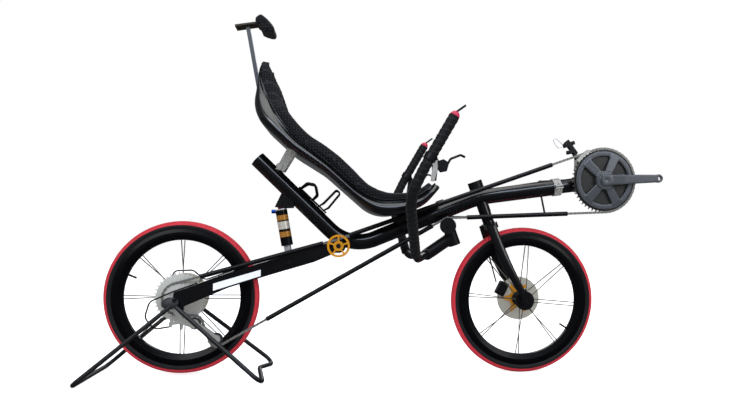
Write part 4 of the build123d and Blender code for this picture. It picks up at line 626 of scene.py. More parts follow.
hollow = add(spacer_tree, "ShaderNodeBump", sunk, invert=True)
spacer_tree.links.new(hollow.outputs[0], spacer_shader.inputs["Normal"])
seat_cushion = new_piece("seat_cushion", pad_mesh, spacer_mesh, "frame")
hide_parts("seat_pad")


# Headrest: a small wedge of the same mesh over foam, sewn round its core and
# fixed to the plate on the post.
REST_LINE = [
    # along, up: the pad in side view
    (213.0, 1079.0), (213.0, 1090.0), (222.0, 1098.0), (230.0, 1102.0), (237.0, 1097.0),
    (250.0, 1086.0), (263.0, 1072.0), (271.0, 1061.0), (270.0, 1051.0), (264.0, 1047.0),
    (256.0, 1048.0), (243.0, 1051.0), (230.0, 1056.0), (234.0, 1065.0), (226.0, 1073.0),
]
REST_HALF_MM = 46.0
REST_VOXEL_MM = 3.0
REST_STATIONS = [
    # share of the half width, share of the full outline about its middle
    (-1.0, 0.72), (-0.96, 0.86), (-0.88, 0.95), (-0.7, 1.0), (0.0, 1.0),
    (0.7, 1.0), (0.88, 0.95), (0.96, 0.86), (1.0, 0.72),
]
rest_middle = [sum(values) / len(REST_LINE) for values in zip(*REST_LINE)]
rest_rings = []
for wide_share, size_share in REST_STATIONS:
    outline = [[m + (v - m) * size_share for m, v in zip(rest_middle, p)] for p in REST_LINE]
    rest_rings.append([at(*p, wide_share * REST_HALF_MM) for p in outline])
rest_mesh = swell("headrest_roll", skin("headrest_roll", rest_rings), REST_VOXEL_MM)
headrest_roll = new_piece("headrest_roll", rest_mesh, spacer_mesh, "frame")
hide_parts("headrest_pad")


# Tyres: red rubber tread over black sidewalls, moulded with fine ribs round
# the wheel. Each tyre has its own finish, because the band is set by radius.
REAR_WHEEL = at(0.0, 241.4)
FRONT_WHEEL = at(1057.8, 231.0)
WHEELS = [("front", FRONT_WHEEL), ("rear", REAR_WHEEL)]
TREAD_EDGE_MM = 219.0
TREAD_BLUR_MM = 0.4
GRIME_MM = 9.0
RIB_MM = 1.6
RIB_DEPTH_MM = 0.2
for wheel, centre in WHEELS:
    rubber, tree, shader = new_finish(f"{wheel} tyre rubber", {"Roughness": 0.6, "Specular IOR Level": 0.25})
    place = add(tree, "ShaderNodeTexCoord").outputs["Object"]
    from_axle = add(tree, "ShaderNodeMapping", {"Vector": place, "Location": -centre})
    in_plane = {0: from_axle.outputs[0], 1: (1.0, 0.0, 1.0)}
    flat = add(tree, "ShaderNodeVectorMath", in_plane, operation="MULTIPLY")
    radius = add(tree, "ShaderNodeVectorMath", {0: flat.outputs[0]}, operation="LENGTH").outputs["Value"]
    inner, outer = [(TREAD_EDGE_MM + blur) * MM for blur in (-TREAD_BLUR_MM, TREAD_BLUR_MM)]
    band = add(tree, "ShaderNodeMapRange", {"Value": radius, "From Min": inner, "From Max": outer})
    grime = add(tree, "ShaderNodeTexNoise", {"Vector": place, "Scale": per_mm(GRIME_MM), "Detail": 5.0})
    reds = {0: grime.outputs["Fac"], 6: linear("#A8202C"), 7: linear("#C62E3A")}
    tread = add(tree, "ShaderNodeMix", reds, data_type="RGBA")
    sides = {0: band.outputs[0], 6: linear("#151517"), 7: tread.outputs[2]}
    both = add(tree, "ShaderNodeMix", sides, data_type="RGBA")
    tree.links.new(both.outputs[2], shader.inputs["Base Color"])
    ribs = add(tree, "ShaderNodeMath", {0: radius, 1: 2 * pi * per_mm(RIB_MM)}, operation="MULTIPLY")
    wave = add(tree, "ShaderNodeMath", {0: ribs.outputs[0]}, operation="SINE")
    raised = {"Height": wave.outputs[0], "Strength": 0.25, "Distance": RIB_DEPTH_MM * MM}
    relief = add(tree, "ShaderNodeBump", raised)
    tree.links.new(relief.outputs[0], shader.inputs["Normal"])
    dress(rubber, f"{wheel}_tyre")


# Rims: deep moulded carbon hoops under clear lacquer, plain black here
# because the lettering is left off.
rim_lacquer = mottled(
    "lacquered black rim",
    "#030304",
    "#070709",
    5.0,
    (0.2, 0.3),
    0.03,
    {"Specular IOR Level": 0.18, "Coat Weight": 0.04, "Coat Roughness": 0.05},
)
dress(rim_lacquer, "rear_rim", "front_rim")


# Discs: stamped steel rims with three rows of drilled holes, riveted to gold
# anodised stars. Each is a flat sheet with its holes cut through.
DISC_SIDE_MM = 42.9
DISC_THICK_MM = 1.8
DISC_OUTER_MM = 70.0
DISC_INNER_MM = 47.0
DISC_ROWS = [
    # radius of the row, holes round it, turn of the row as a share of its step
    (51.5, 30, 0.0),
    (58.0, 30, 0.33),
    (64.5, 30, 0.66),
]
DRILL_MM = 2.5
STAR_SIDE_MM = 41.5
STAR_THICK_MM = 0.9
STAR_ARMS = 6
STAR_BORE_MM = 12.0
STAR_ARM = [
    # angle from the arm's middle, radius: the edge of one arm
    (-0.34, 30.0), (-0.13, 46.0), (-0.06, 50.0), (0.06, 50.0), (0.13, 46.0), (0.34, 30.0),
]
STAR_WINDOW = [(-0.16, 24.0), (0.16, 24.0), (0.05, 41.0), (-0.05, 41.0)]
ROUND = 72
HUB_ROUND = 48
WINDOW_ROUND = 16
DRILL_ROUND = 8


def turned(angle, radius):
    return (radius * cos(angle), radius * sin(angle))


def circle(radius, count, middle=(0.0, 0.0)):
    corners = [turned(2 * pi * k / count, radius) for k in range(count)]
    return [(middle[0] + x, middle[1] + z) for x, z in corners]


def plate(shape, centre, side_mm, thick_mm, outlines):
    """Adds a flat plate to the shape. The first outline is its edge, and the others are its holes."""
    flat = [Vector(p) for outline in outlines for p in outline]
    edges = []
    for outline in outlines:
        first = len(edges)
        edges += [(first + k, first + (k + 1) % len(outline)) for k in range(len(outline))]
    points, _, sheets, _, _, _ = delaunay_2d_cdt(flat, edges, [], 2, 1e-6)
    layers = []
    for offset in (-thick_mm / 2, thick_mm / 2):
        layers.append([shape.verts.new(centre + Vector((p[0], side_mm + offset, p[1])) * MM) for p in points])
    used = set()
    for sheet in sheets:
        shape.faces.new([layers[0][k] for k in reversed(sheet)])
        shape.faces.new([layers[1][k] for k in sheet])
        used.update(zip(sheet, sheet[1:] + sheet[:1]))
    for a, b in sorted(used):
        if (b, a) not in used:
            shape.faces.new((layers[0][a], layers[0][b], layers[1][b], layers[1][a]))


disc_steel = mottled("stamped disc steel", "#B4AFA2", "#D2CDC0", 1.2, (0.28, 0.42), 0.08, {"Metallic": 0.35})
for wheel, centre in WHEELS:
    outlines = [circle(DISC_OUTER_MM, ROUND), circle(DISC_INNER_MM, ROUND)]
    for row_radius, row_count, row_turn in DISC_ROWS:
        for k in range(row_count):
            middle = turned(2 * pi * (k + row_turn) / row_count, row_radius)
            outlines.append(circle(DRILL_MM, DRILL_ROUND, middle))
    shape = bmesh.new()
    plate(shape, centre, DISC_SIDE_MM, DISC_THICK_MM, outlines)
    rotor_mesh = as_mesh(f"{wheel}_rotor", shape)
    rotor = new_piece(f"{wheel}_rotor", rotor_mesh, disc_steel, f"{wheel}_wheel")
    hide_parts(f"{wheel}_disc")
    arms = [2 * pi * arm / STAR_ARMS for arm in range(STAR_ARMS)]
    edge = [turned(arm + lean, radius) for arm in arms for lean, radius in STAR_ARM]
    outlines = [edge, circle(STAR_BORE_MM, ROUND // 2)]
    outlines += [[turned(arm + lean, radius) for lean, radius in STAR_WINDOW] for arm in arms]
    shape = bmesh.new()
    plate(shape, centre, STAR_SIDE_MM, STAR_THICK_MM, outlines)
    new_piece(f"{wheel}_star", as_mesh(f"{wheel}_star", shape), gold_alloy, f"{wheel}_wheel")


# Front hub's flange: a black disc with six round windows, and a gold shim
# behind it that shows through them.
FLANGE_SIDE_MM = -32.6
FLANGE_MM = 30.0
FLANGE_THICK_MM = 2.4
FLANGE_BORE_MM = 10.0
FLANGE_HOLES = 6
FLANGE_HOLE_MM = 5.6
FLANGE_ROW_MM = 20.5
SHIM_SIDE_MM = -30.8
SHIM_MM = 27.0
SHIM_THICK_MM = 1.0
petals = [turned(2 * pi * (k + 0.5) / FLANGE_HOLES, FLANGE_ROW_MM) for k in range(FLANGE_HOLES)]
flange_bore = circle(FLANGE_BORE_MM, HUB_ROUND // 2)
outlines = [circle(FLANGE_MM, HUB_ROUND), flange_bore]
outlines += [circle(FLANGE_HOLE_MM, WINDOW_ROUND, middle) for middle in petals]
shape = bmesh.new()
plate(shape, FRONT_WHEEL, FLANGE_SIDE_MM, FLANGE_THICK_MM, outlines)
new_piece("front_hub_flange", as_mesh("front_hub_flange", shape), black_alloy, "front_wheel")
shape = bmesh.new()
plate(shape, FRONT_WHEEL, SHIM_SIDE_MM, SHIM_THICK_MM, [circle(SHIM_MM, HUB_ROUND), flange_bore])
new_piece("front_hub_shim", as_mesh("front_hub_shim", shape), gold_alloy, "front_wheel")


# Spokes: bladed steel spokes in eight pairs, which lie flat to the wind over
# the round ones of the hub.
SPOKE_PAIRS = 8
SPOKE_LEAN = radians(1.8)
SPOKE_FOOT_TURN = 4.0
SPOKE_FOOT_MM = 19.2
SPOKE_HEAD_MM = 172.0
SPOKE_HALF_MM = 1.5
SPOKE_THICK_MM = 1.2
SPOKE_HEAD_SHARE = 0.04
SPOKE_WHEELS = [
    # wheel, centre, right flange, left flange, first pair's angle
    ("front", FRONT_WHEEL, 28.5, 28.5, radians(40.0)),
    ("rear", REAR_WHEEL, 16.5, 30.5, radians(45.0)),
]
BOX_FACES = [(0, 1, 2, 3), (7, 6, 5, 4), (0, 4, 5, 1), (1, 5, 6, 2), (2, 6, 7, 3), (3, 7, 4, 0)]


def forged_bar(shape, start, end, thick_mm):
    """Adds a bar that tapers between two places, each given as along, side, up and half width."""
    run = Vector((end[0] - start[0], 0.0, end[2] - start[2])).normalized()
    across = Vector((-run.z, 0.0, run.x))
    corners = []
    for along, side_mm, up, half_mm in (start, end):
        middle = Vector((along, side_mm, up))
        for out, deep in ((-1, -1), (1, -1), (1, 1), (-1, 1)):
            place = middle + across * (out * half_mm) + Vector((0.0, deep * thick_mm / 2, 0.0))
            corners.append(shape.verts.new(place * MM))
    for face in BOX_FACES:
        shape.faces.new([corners[k] for k in face])


spoke_steel = mottled("stainless spoke wire", "#6E675C", "#8F877A", 5.0, (0.3, 0.4), 0.02, {"Metallic": 0.3})
for wheel, centre, right_mm, left_mm, first_turn in SPOKE_WHEELS:
    shape = bmesh.new()
    for pair in range(SPOKE_PAIRS):
        middle = first_turn + 2 * pi * pair / SPOKE_PAIRS
        for lean, side_mm in ((-SPOKE_LEAN, -right_mm), (SPOKE_LEAN, left_mm)):
            foot = turned(middle + lean * SPOKE_FOOT_TURN, SPOKE_FOOT_MM)
            head = turned(middle + lean, SPOKE_HEAD_MM)
            low = (foot[0], side_mm, foot[1], SPOKE_HALF_MM)
            high = (head[0], side_mm * SPOKE_HEAD_SHARE, head[1], SPOKE_HALF_MM)
            forged_bar(shape, low, high, SPOKE_THICK_MM)
    blades = as_mesh(f"{wheel}_blades", shape)
    blades.transform(Matrix.Translation(centre))
    new_piece(f"{wheel}_blades", blades, spoke_steel, f"{wheel}_wheel")


# Chainrings: grey anodised plates of cut teeth that stand between the
# chain's plates, each with a wide bore.
CHAIN_PITCH_MM = 12.7
CHAIN_SIDE_MM = -45.0
TOOTH_PROFILE = [
    # share of one tooth's pitch, height above the chain's line in mm
    (0.0, -3.9), (0.30, -3.2), (0.42, 3.0), (0.50, 3.5), (0.58, 3.0), (0.70, -3.2),
]
TOOTH_DRILL_MM = 1.9
TOOTH_DRILL_IN_MM = 8.0
BOTTOM_BRACKET = at(1307.0, 614.0)
LARGE_RING_TEETH = 50
CHAINRINGS = [
    # teeth, bore radius, side in mm
    (LARGE_RING_TEETH, 74.0, -45.0),
    (34, 52.0, -38.0),
]
RING_PLATE_MM = 2.0


def pitch_circle(teeth):
    return CHAIN_PITCH_MM / (2 * sin(pi / teeth))


def toothed(shape, centre, side_mm, thick_mm, teeth, bore_mm, drilled=0):
    """Adds a toothed plate, with a row of small holes if a number of them is given."""
    line = pitch_circle(teeth)
    step = 2 * pi / teeth
    edge = [turned(step * (k + share), line + high) for k in range(teeth) for share, high in TOOTH_PROFILE]
    drills = [turned(2 * pi * k / drilled, line - TOOTH_DRILL_IN_MM) for k in range(drilled)]
    holes = [circle(TOOTH_DRILL_MM, DRILL_ROUND, middle) for middle in drills]
    plate(shape, centre, side_mm, thick_mm, [edge, circle(bore_mm, ROUND)] + holes)


ring_alloy = mottled(
    "grey anodised aluminium", "#1D1D1E", "#343330", 1.2, (0.3, 0.42), 0.08, {"Metallic": 0.3}
)
shape = bmesh.new()
for teeth, bore_mm, side_mm in CHAINRINGS:
    toothed(shape, BOTTOM_BRACKET, side_mm, RING_PLATE_MM, teeth, bore_mm)
rings_mesh = as_mesh("toothed_rings", shape)
toothed_rings = new_piece("toothed_rings", rings_mesh, ring_alloy, "crankset")
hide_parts("chainrings")


# Sprockets: nine nickel-plated steel plates on one core. The larger ones are
# narrow bands on slanted arms, with a row of small holes.
SPROCKET_TEETH = [12, 14, 17, 20, 23, 26, 29, 33, 37]
SPROCKET_STEP_MM = 4.6
DRIVEN_SPROCKET = 4
DRILLED_FROM_TEETH = 17
SPROCKET_PLATE_MM = 1.8
SPROCKET_BAND_MM = 11.0
SPROCKET_BORE_MM = 18.0
SPROCKET_ARMS = 6
SPROCKET_ARM_MM = 7.0
SPROCKET_ARM_THICK_MM = 1.44
SPROCKET_ARM_SLANT = (2.0, 0.4)
SPROCKET_ARM_INTO_MM = 1.0
CORE_MM = (19.5, 11.5)


def ring(shape, centre, side_mm, thick_mm, outer_mm, bore_mm, count):
    """Adds a flat ring to the shape."""
    low_out, low_in, high_out, high_in = [
        [shape.verts.new(centre + Vector((x, side_mm + offset, z)) * MM) for x, z in circle(radius, count)]
        for offset in (-thick_mm / 2, thick_mm / 2)
        for radius in (outer_mm, bore_mm)
    ]
    loops = [low_out, low_in, high_in, high_out, low_out]
    for near, far in zip(loops, loops[1:]):
        for k in range(count):
            after = (k + 1) % count
            shape.faces.new((near[k], near[after], far[after], far[k]))


sprocket_steel = mottled(
    "nickel plated sprocket steel", "#BDBCB6", "#E6E5DF", 1.4, (0.26, 0.42), 0.12, {"Metallic": 0.3}
)
shape = bmesh.new()
for index, teeth in enumerate(SPROCKET_TEETH):
    side_mm = CHAIN_SIDE_MM + (index - DRIVEN_SPROCKET) * SPROCKET_STEP_MM
    bore_mm = max(SPROCKET_BORE_MM, pitch_circle(teeth) - SPROCKET_BAND_MM)
    drilled = teeth if teeth >= DRILLED_FROM_TEETH else 0
    toothed(shape, REAR_WHEEL, side_mm, SPROCKET_PLATE_MM, teeth, bore_mm, drilled)
    for arm in range(SPROCKET_ARMS if bore_mm > SPROCKET_BORE_MM else 0):
        middle = 2 * pi * (arm + index / 4) / SPROCKET_ARMS
        root = SPROCKET_ARM_MM / SPROCKET_BORE_MM
        edge = [turned(middle + lean, SPROCKET_BORE_MM) for lean in (-root, root)]
        for lean in SPROCKET_ARM_SLANT:
            tip = middle + lean * SPROCKET_ARM_MM / bore_mm
            edge.append(turned(tip, bore_mm + SPROCKET_ARM_INTO_MM))
        plate(shape, REAR_WHEEL, side_mm, SPROCKET_ARM_THICK_MM, [edge])
core_long = SPROCKET_STEP_MM * (len(SPROCKET_TEETH) - 1)
ring(shape, REAR_WHEEL, CHAIN_SIDE_MM, core_long, *CORE_MM, HUB_ROUND)
sprocket_mesh = as_mesh("sprockets", shape)
sprockets = new_piece("sprockets", sprocket_mesh, sprocket_steel, "rear_wheel")
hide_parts("cassette")


# Right crank: one hollow forging whose boss flows into four spider arms and a
# band over the large ring. Its blocks are melted into each other and eased.
CRANK_TILT = radians(2.4)
CRANK_RINGS = [
    # along, side, thickness, outer radius, bore radius in mm, corners
    (0.0, -56.0, 14.0, 30.0, 8.0, 48),
    (0.0, -64.0, 14.0, 18.5, 5.0, 48),
    (0.0, -51.6, 4.6, 93.0, 76.5, 96),
    (170.0, -67.0, 12.0, 13.5, 7.2, 32),
]
CRANK_BLOCKS = [
    # start: along, side, up and half width; end: the same; thickness
    ((-14.0, -60.0, 0.0, 17.0), (64.0, -64.5, 0.0, 15.5), 17.0),
    ((50.0, -65.5, 0.0, 15.5), (168.0, -67.0, 0.0, 12.0), 12.0),
]
SPIDER_TURNS = [radians(63.0), radians(134.0), radians(226.0), radians(297.0)]
SPIDER_ENDS = [
    # radius, side, half width in mm: at the boss, then at the band
    (10.0, -56.5, 12.0),
    (83.0, -52.0, 15.0),
]
SPIDER_THICK_MM = 6.5
FORGING_VOXEL_MM = 1.5
FORGING_EASE = 12
ORIGIN = Vector((0.0, 0.0, 0.0))


def melted(name, mesh, voxel_mm, rounds):
    """Melts the parts of a mesh into one skin and eases it."""
    piece = put(name, mesh)
    voxels(piece, voxel_mm)
    return eased(piece, rounds)


crank_alloy = mottled(
    "forged grey aluminium", "#424448", "#585A5F", 2.2, (0.24, 0.34), 0.04, {"Metallic": 0.45}
)
dress(crank_alloy, "crank_left")
shape = bmesh.new()
for along, side_mm, thick_mm, outer_mm, bore_mm, corners in CRANK_RINGS:
    ring(shape, Vector((along * MM, 0.0, 0.0)), side_mm, thick_mm, outer_mm, bore_mm, corners)
for angle in SPIDER_TURNS:
    root, tip = [(r * cos(angle), side_mm, r * sin(angle), half_mm) for r, side_mm, half_mm in SPIDER_ENDS]
    forged_bar(shape, root, tip, SPIDER_THICK_MM)
for start, end, thick_mm in CRANK_BLOCKS:
    forged_bar(shape, start, end, thick_mm)
forging = melted("forged_crank", as_mesh("forged_crank", shape), FORGING_VOXEL_MM, FORGING_EASE)
forging.transform(Matrix.Translation(BOTTOM_BRACKET) @ Matrix.Rotation(-CRANK_TILT, 4, "Y"))
forged_crank = new_piece("forged_crank", forging, crank_alloy, "crankset")
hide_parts("crank_right")


# Castings and plugs: both calipers, the bar's plugs and the stem, with their
# edges rounded over as they leave the mould.
plug_plastic = mottled("red moulded plug", "#A01436", "#C2264B", 1.5, (0.3, 0.42), 0.05)
ROUNDED = [
    # node, body, slot, finish, voxel in mm, rounds of easing
    ("front_caliper", "fork", "black_alloy", black_alloy, 1.2, 40),
    ("rear_caliper", "frame", "black_alloy", black_alloy, 1.4, 24),
    ("bar_plugs", "handlebar", "red_plastic", plug_plastic, 1.0, 16),
    ("stem", "handlebar", "black_alloy", black_alloy, 1.5, 6),
]
for name, body, slot_name, finish, voxel_mm, rounds in ROUNDED:
    cast_mesh = melted(f"{name}_cast", nodes[name].data.copy(), voxel_mm, rounds)
    cast = new_piece(f"{name}_cast", cast_mesh, finish, body)
    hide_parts(name)


# Front gear: a small black linkage behind a bright cage, and the tail of its
# wire, which stands up in a loop.
SHIFT_SIDE_MM = -26.0
SHIFT_THICK_MM = 15.0
SHIFT_BARS = [
    # start: along, up, half width in mm; end: the same
    ((1182.0, 723.0, 7.0), (1217.0, 735.0, 6.0)),
    ((1190.0, 739.0, 8.0), (1223.0, 697.0, 7.0)),
    ((1193.0, 702.0, 6.0), (1220.0, 707.0, 6.0)),
    ((1212.0, 710.0, 5.0), (1226.0, 680.0, 4.0)),
]
LINKAGE_VOXEL_MM = 1.0
LINKAGE_EASE = 5
CAGE_SIDES_MM = (-52.0, -38.5)
CAGE_THICK_MM = 1.4
CAGE_FROM = radians(118.0)
CAGE_SPAN = radians(28.0)
CAGE_STEPS = 16
CAGE_IN_MM = 100.0
CAGE_OUT_MM = 110.0
WIRE_TAIL = [
    # along, up
    (1178.0, 722.0), (1168.0, 713.0), (1157.0, 724.0), (1147.0, 741.0),
    (1152.0, 748.0), (1166.0, 740.0), (1180.0, 726.0),
]
WIRE_MM = 1.1


def linkage(name, bars, side_mm, thick_mm, finish):
    """Short bars melted into one linkage."""
    shape = bmesh.new()
    for ends in bars:
        start, end = [(REAR_AXLE_X + along, side_mm, up, half_mm) for along, up, half_mm in ends]
        forged_bar(shape, start, end, thick_mm)
    mesh = melted(name, as_mesh(name, shape), LINKAGE_VOXEL_MM, LINKAGE_EASE)
    return new_piece(name, mesh, finish, "frame")


shift_linkage = linkage(
    "shift_linkage", SHIFT_BARS, SHIFT_SIDE_MM, SHIFT_THICK_MM, black_alloy
)
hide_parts("front_derailleur")
sweep = [CAGE_FROM + CAGE_SPAN * k / CAGE_STEPS for k in range(CAGE_STEPS + 1)]
cage_edge = [turned(t, CAGE_OUT_MM) for t in sweep] + [turned(t, CAGE_IN_MM) for t in reversed(sweep)]
shape = bmesh.new()
for side_mm in CAGE_SIDES_MM:
    plate(shape, BOTTOM_BRACKET, side_mm, CAGE_THICK_MM, [cage_edge])
new_piece("shift_cage", as_mesh("shift_cage", shape), silver_alloy, "frame")
wire = bpy.data.curves.new("wire_tail", "CURVE")
wire.dimensions = "3D"
wire.bevel_depth = WIRE_MM * MM
wire.bevel_resolution = 3
wire.use_fill_caps = True
bend = wire.splines.new("NURBS")
bend.points.add(len(WIRE_TAIL) - 1)
bend.use_endpoint_u = True
bend.order_u = 3
for point, (along, up) in zip(bend.points, WIRE_TAIL):
    point.co = (*at(along, up, SHIFT_SIDE_MM), 1.0)
new_piece("wire_tail", baked(put("wire_tail", wire)), polished_steel, "frame")


# Rear gear: a bright skeleton linkage from the arm's end to the cage of the
# two jockey wheels.
GEAR_SIDE_MM = -70.0
GEAR_THICK_MM = 11.0
GEAR_BARS = [
    # start: along, up, half width in mm; end: the same
    ((-19.0, 171.0, 4.0), (24.0, 177.0, 5.0)),
    ((-11.0, 197.0, 4.0), (-15.0, 161.0, 3.0)),
    ((3.0, 203.0, 6.0), (21.0, 178.0, 6.0)),
    ((18.0, 180.0, 3.0), (16.0, 154.0, 2.5)),
    ((21.0, 178.0, 8.0), (56.0, 166.0, 10.0)),
    ((-7.0, 229.0, 7.0), (3.0, 201.0, 8.0)),
]
gear_linkage = linkage("gear_linkage", GEAR_BARS, GEAR_SIDE_MM, GEAR_THICK_MM, silver_alloy)
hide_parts("rear_derailleur")


# Chain: roller links of nickel-plated plates on pins, laid at an even pitch
# round the sprocket, idlers, ring and jockeys. It stands for the CAD ribbon.
LINK_HALF_MM = 3.9
LINK_WAIST_MM = 3.0
LINK_PLATE_MM = 0.9
LINK_CAP_COUNT = 7
LINK_CAP_SPAN = pi * 0.94
LINK_BAR_ROUND = 10
LINKS = [
    # name, side of its plates, radius and length of its bars in mm
    ("inner_link", 1.75, 3.8, 2.4),
    ("outer_link", 2.75, 1.8, 6.6),
]
IDLER_PLACE = (471.0, 401.0)
IDLER_GROOVE_MM = 20.0
KINK_MM = 300.0
KINK_TURN = radians(17.6)
KINK_ALONG = IDLER_PLACE[0] - (IDLER_GROOVE_MM + KINK_MM) * sin(KINK_TURN)
KINK_UP = IDLER_PLACE[1] + (IDLER_GROOVE_MM + KINK_MM) * cos(KINK_TURN)
CHAIN_WHEELS = [
    # along, up, pitch radius, turn: 1 to the left of travel and -1 to the right
    (0.0, 241.4, 46.5, -1),
    (KINK_ALONG, KINK_UP, KINK_MM, 1),
    (1307.0, 614.0, pitch_circle(LARGE_RING_TEETH), -1),
    (808.0, 465.0, 24.0, 1),
    (112.0, 122.0, 22.5, -1),
    (48.0, 168.0, 22.5, 1),
]
LOOP_STEP_MM = 3.0


def chain_loop():
    """Points round the chain's closed run, on the line of its pins."""
    onward_wheels = CHAIN_WHEELS[1:] + CHAIN_WHEELS[:1]
    contacts = []
    for (a0, u0, r0, s0), (a1, u1, r1, s1) in zip(CHAIN_WHEELS, onward_wheels):
        spread = hypot(a1 - a0, u1 - u0)
        heading = atan2(u1 - u0, a1 - a0) - asin((s1 * r1 - s0 * r0) / spread)
        left = (-sin(heading), cos(heading))
        leave = (a0 - s0 * r0 * left[0], u0 - s0 * r0 * left[1])
        arrive = (a1 - s1 * r1 * left[0], u1 - s1 * r1 * left[1])
        contacts.append((leave, arrive))
    points = []
    onward_contacts = contacts[1:] + contacts[:1]
    for (leave, arrive), (onward, _), (a1, u1, r1, s1) in zip(contacts, onward_contacts, onward_wheels):
        run = (arrive[0] - leave[0], arrive[1] - leave[1])
        steps = max(2, int(hypot(*run) / LOOP_STEP_MM))
        for share in [step / steps for step in range(steps)]:
            points.append((leave[0] + run[0] * share, leave[1] + run[1] * share))
        begin = atan2(arrive[1] - u1, arrive[0] - a1)
        finish = atan2(onward[1] - u1, onward[0] - a1)
        sweep = ((finish - begin) * s1) % (2 * pi)
        steps = max(2, int(sweep * r1 / LOOP_STEP_MM))
        for angle in [begin + s1 * sweep * step / steps for step in range(steps)]:
            points.append((a1 + r1 * cos(angle), u1 + r1 * sin(angle)))
    return points


def link_object(name, side_mm, bar_mm, bar_long_mm):
    """One chain link about the origin along X: two waisted plates and two bars."""
    half_pitch = CHAIN_PITCH_MM / 2
    outline = []
    for end in (1, -1):
        for index in range(LINK_CAP_COUNT):
            x, z = turned((index / (LINK_CAP_COUNT - 1) - 0.5) * LINK_CAP_SPAN, LINK_HALF_MM)
            outline.append((end * (half_pitch + x), end * z))
        outline.append((0.0, end * LINK_WAIST_MM))
    shape = bmesh.new()
    for side_sign in (-1, 1):
        plate(shape, ORIGIN, side_sign * side_mm, LINK_PLATE_MM, [outline])
        bar = circle(bar_mm, LINK_BAR_ROUND, (side_sign * half_pitch, 0.0))
        plate(shape, ORIGIN, 0.0, bar_long_mm, [bar])
    return bpy.data.objects.new(name, as_mesh(name, shape))


def new_group(name, sockets):
    """A geometry node group with the named input sockets, and its input and output nodes."""
    tree = bpy.data.node_groups.new(name, "GeometryNodeTree")
    for socket_name, socket_type in [("Geometry", "Geometry"), *sockets, ("Finish", "Material")]:
        tree.interface.new_socket(socket_name, in_out="INPUT", socket_type=f"NodeSocket{socket_type}")
    tree.interface.new_socket("Geometry", in_out="OUTPUT", socket_type="NodeSocketGeometry")
    return tree, tree.nodes.new("NodeGroupInput").outputs, tree.nodes.new("NodeGroupOutput")


def realised(tree, copies, finish, group_out):
    """Ends a group: its copies are made real and dressed in their finish."""
    real = add(tree, "GeometryNodeRealizeInstances", {0: copies})
    dressed = add(tree, "GeometryNodeSetMaterial", {"Geometry": real.outputs[0], "Material": finish})
    tree.links.new(dressed.outputs[0], group_out.inputs[0])


def laid(name, base, tree, values):
    """The mesh that a group makes of a base object, with its inputs set by their sockets' identifiers."""
    host = put(name, base)
    modifier = host.modifiers.new(name, "NODES")
    modifier.node_group = tree
    for item in tree.interface.items_tree:
        if item.item_type == "SOCKET" and item.in_out == "INPUT" and item.name in values:
            modifier[item.identifier] = values[item.name]
    return baked(host, smooth=False)


chain_steel = mottled(
    "nickel plated chain steel", "#54534F", "#8E8D88", 2.4, (0.25, 0.42), 0.1, {"Metallic": 0.4}
)
links_tree, links_in, links_out = new_group(
    "links on a loop", [("Links", "Int"), ("Inner Link", "Object"), ("Outer Link", "Object")]
)
loop_in = {"Curve": links_in["Geometry"], "Count": links_in["Links"]}
spaced = add(links_tree, "GeometryNodeResampleCurve", loop_in)
tangent = add(links_tree, "GeometryNodeInputTangent")
along_loop = {"Vector": tangent.outputs[0]}
link_turn = add(links_tree, "FunctionNodeAlignRotationToVector", along_loop, axis="X", pivot_axis="Y")
number = add(links_tree, "GeometryNodeInputIndex")
odd = add(links_tree, "ShaderNodeMath", {0: number.outputs[0], 1: 2.0}, operation="MODULO")
even = add(links_tree, "ShaderNodeMath", {0: 1.0, 1: odd.outputs[0]}, operation="SUBTRACT")
joined = add(links_tree, "GeometryNodeJoinGeometry")
for chosen, source in ((odd, "Inner Link"), (even, "Outer Link")):
    link_shape = add(links_tree, "GeometryNodeObjectInfo", {"Object": links_in[source]})
    placing = {
        "Points": spaced.outputs[0],
        "Selection": chosen.outputs[0],
        "Instance": link_shape.outputs["Geometry"],
        "Rotation": link_turn.outputs[0],
    }
    placed = add(links_tree, "GeometryNodeInstanceOnPoints", placing)
    links_tree.links.new(placed.outputs[0], joined.inputs[0])
realised(links_tree, joined.outputs[0], links_in["Finish"], links_out)

loop = chain_loop()
loop_length = sum(hypot(b[0] - a[0], b[1] - a[1]) for a, b in zip(loop, loop[1:] + loop[:1]))
loop_curve = bpy.data.curves.new("chain_loop", "CURVE")
loop_curve.dimensions = "3D"
loop_spline = loop_curve.splines.new("POLY")
loop_spline.points.add(len(loop) - 1)
for point, (along, up) in zip(loop_spline.points, loop):
    point.co = (*at(along, up, CHAIN_SIDE_MM), 1.0)
loop_spline.use_cyclic_u = True
inner_link, outer_link = [link_object(*row) for row in LINKS]
values = {
    "Links": 2 * round(loop_length / CHAIN_PITCH_MM / 2),
    "Inner Link": inner_link,
    "Outer Link": outer_link,
    "Finish": chain_steel,
}
chain_mesh = laid("roller_chain", loop_curve, links_tree, values)
roller_chain = new_piece("roller_chain", chain_mesh, chain_steel, "frame")
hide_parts("chain")


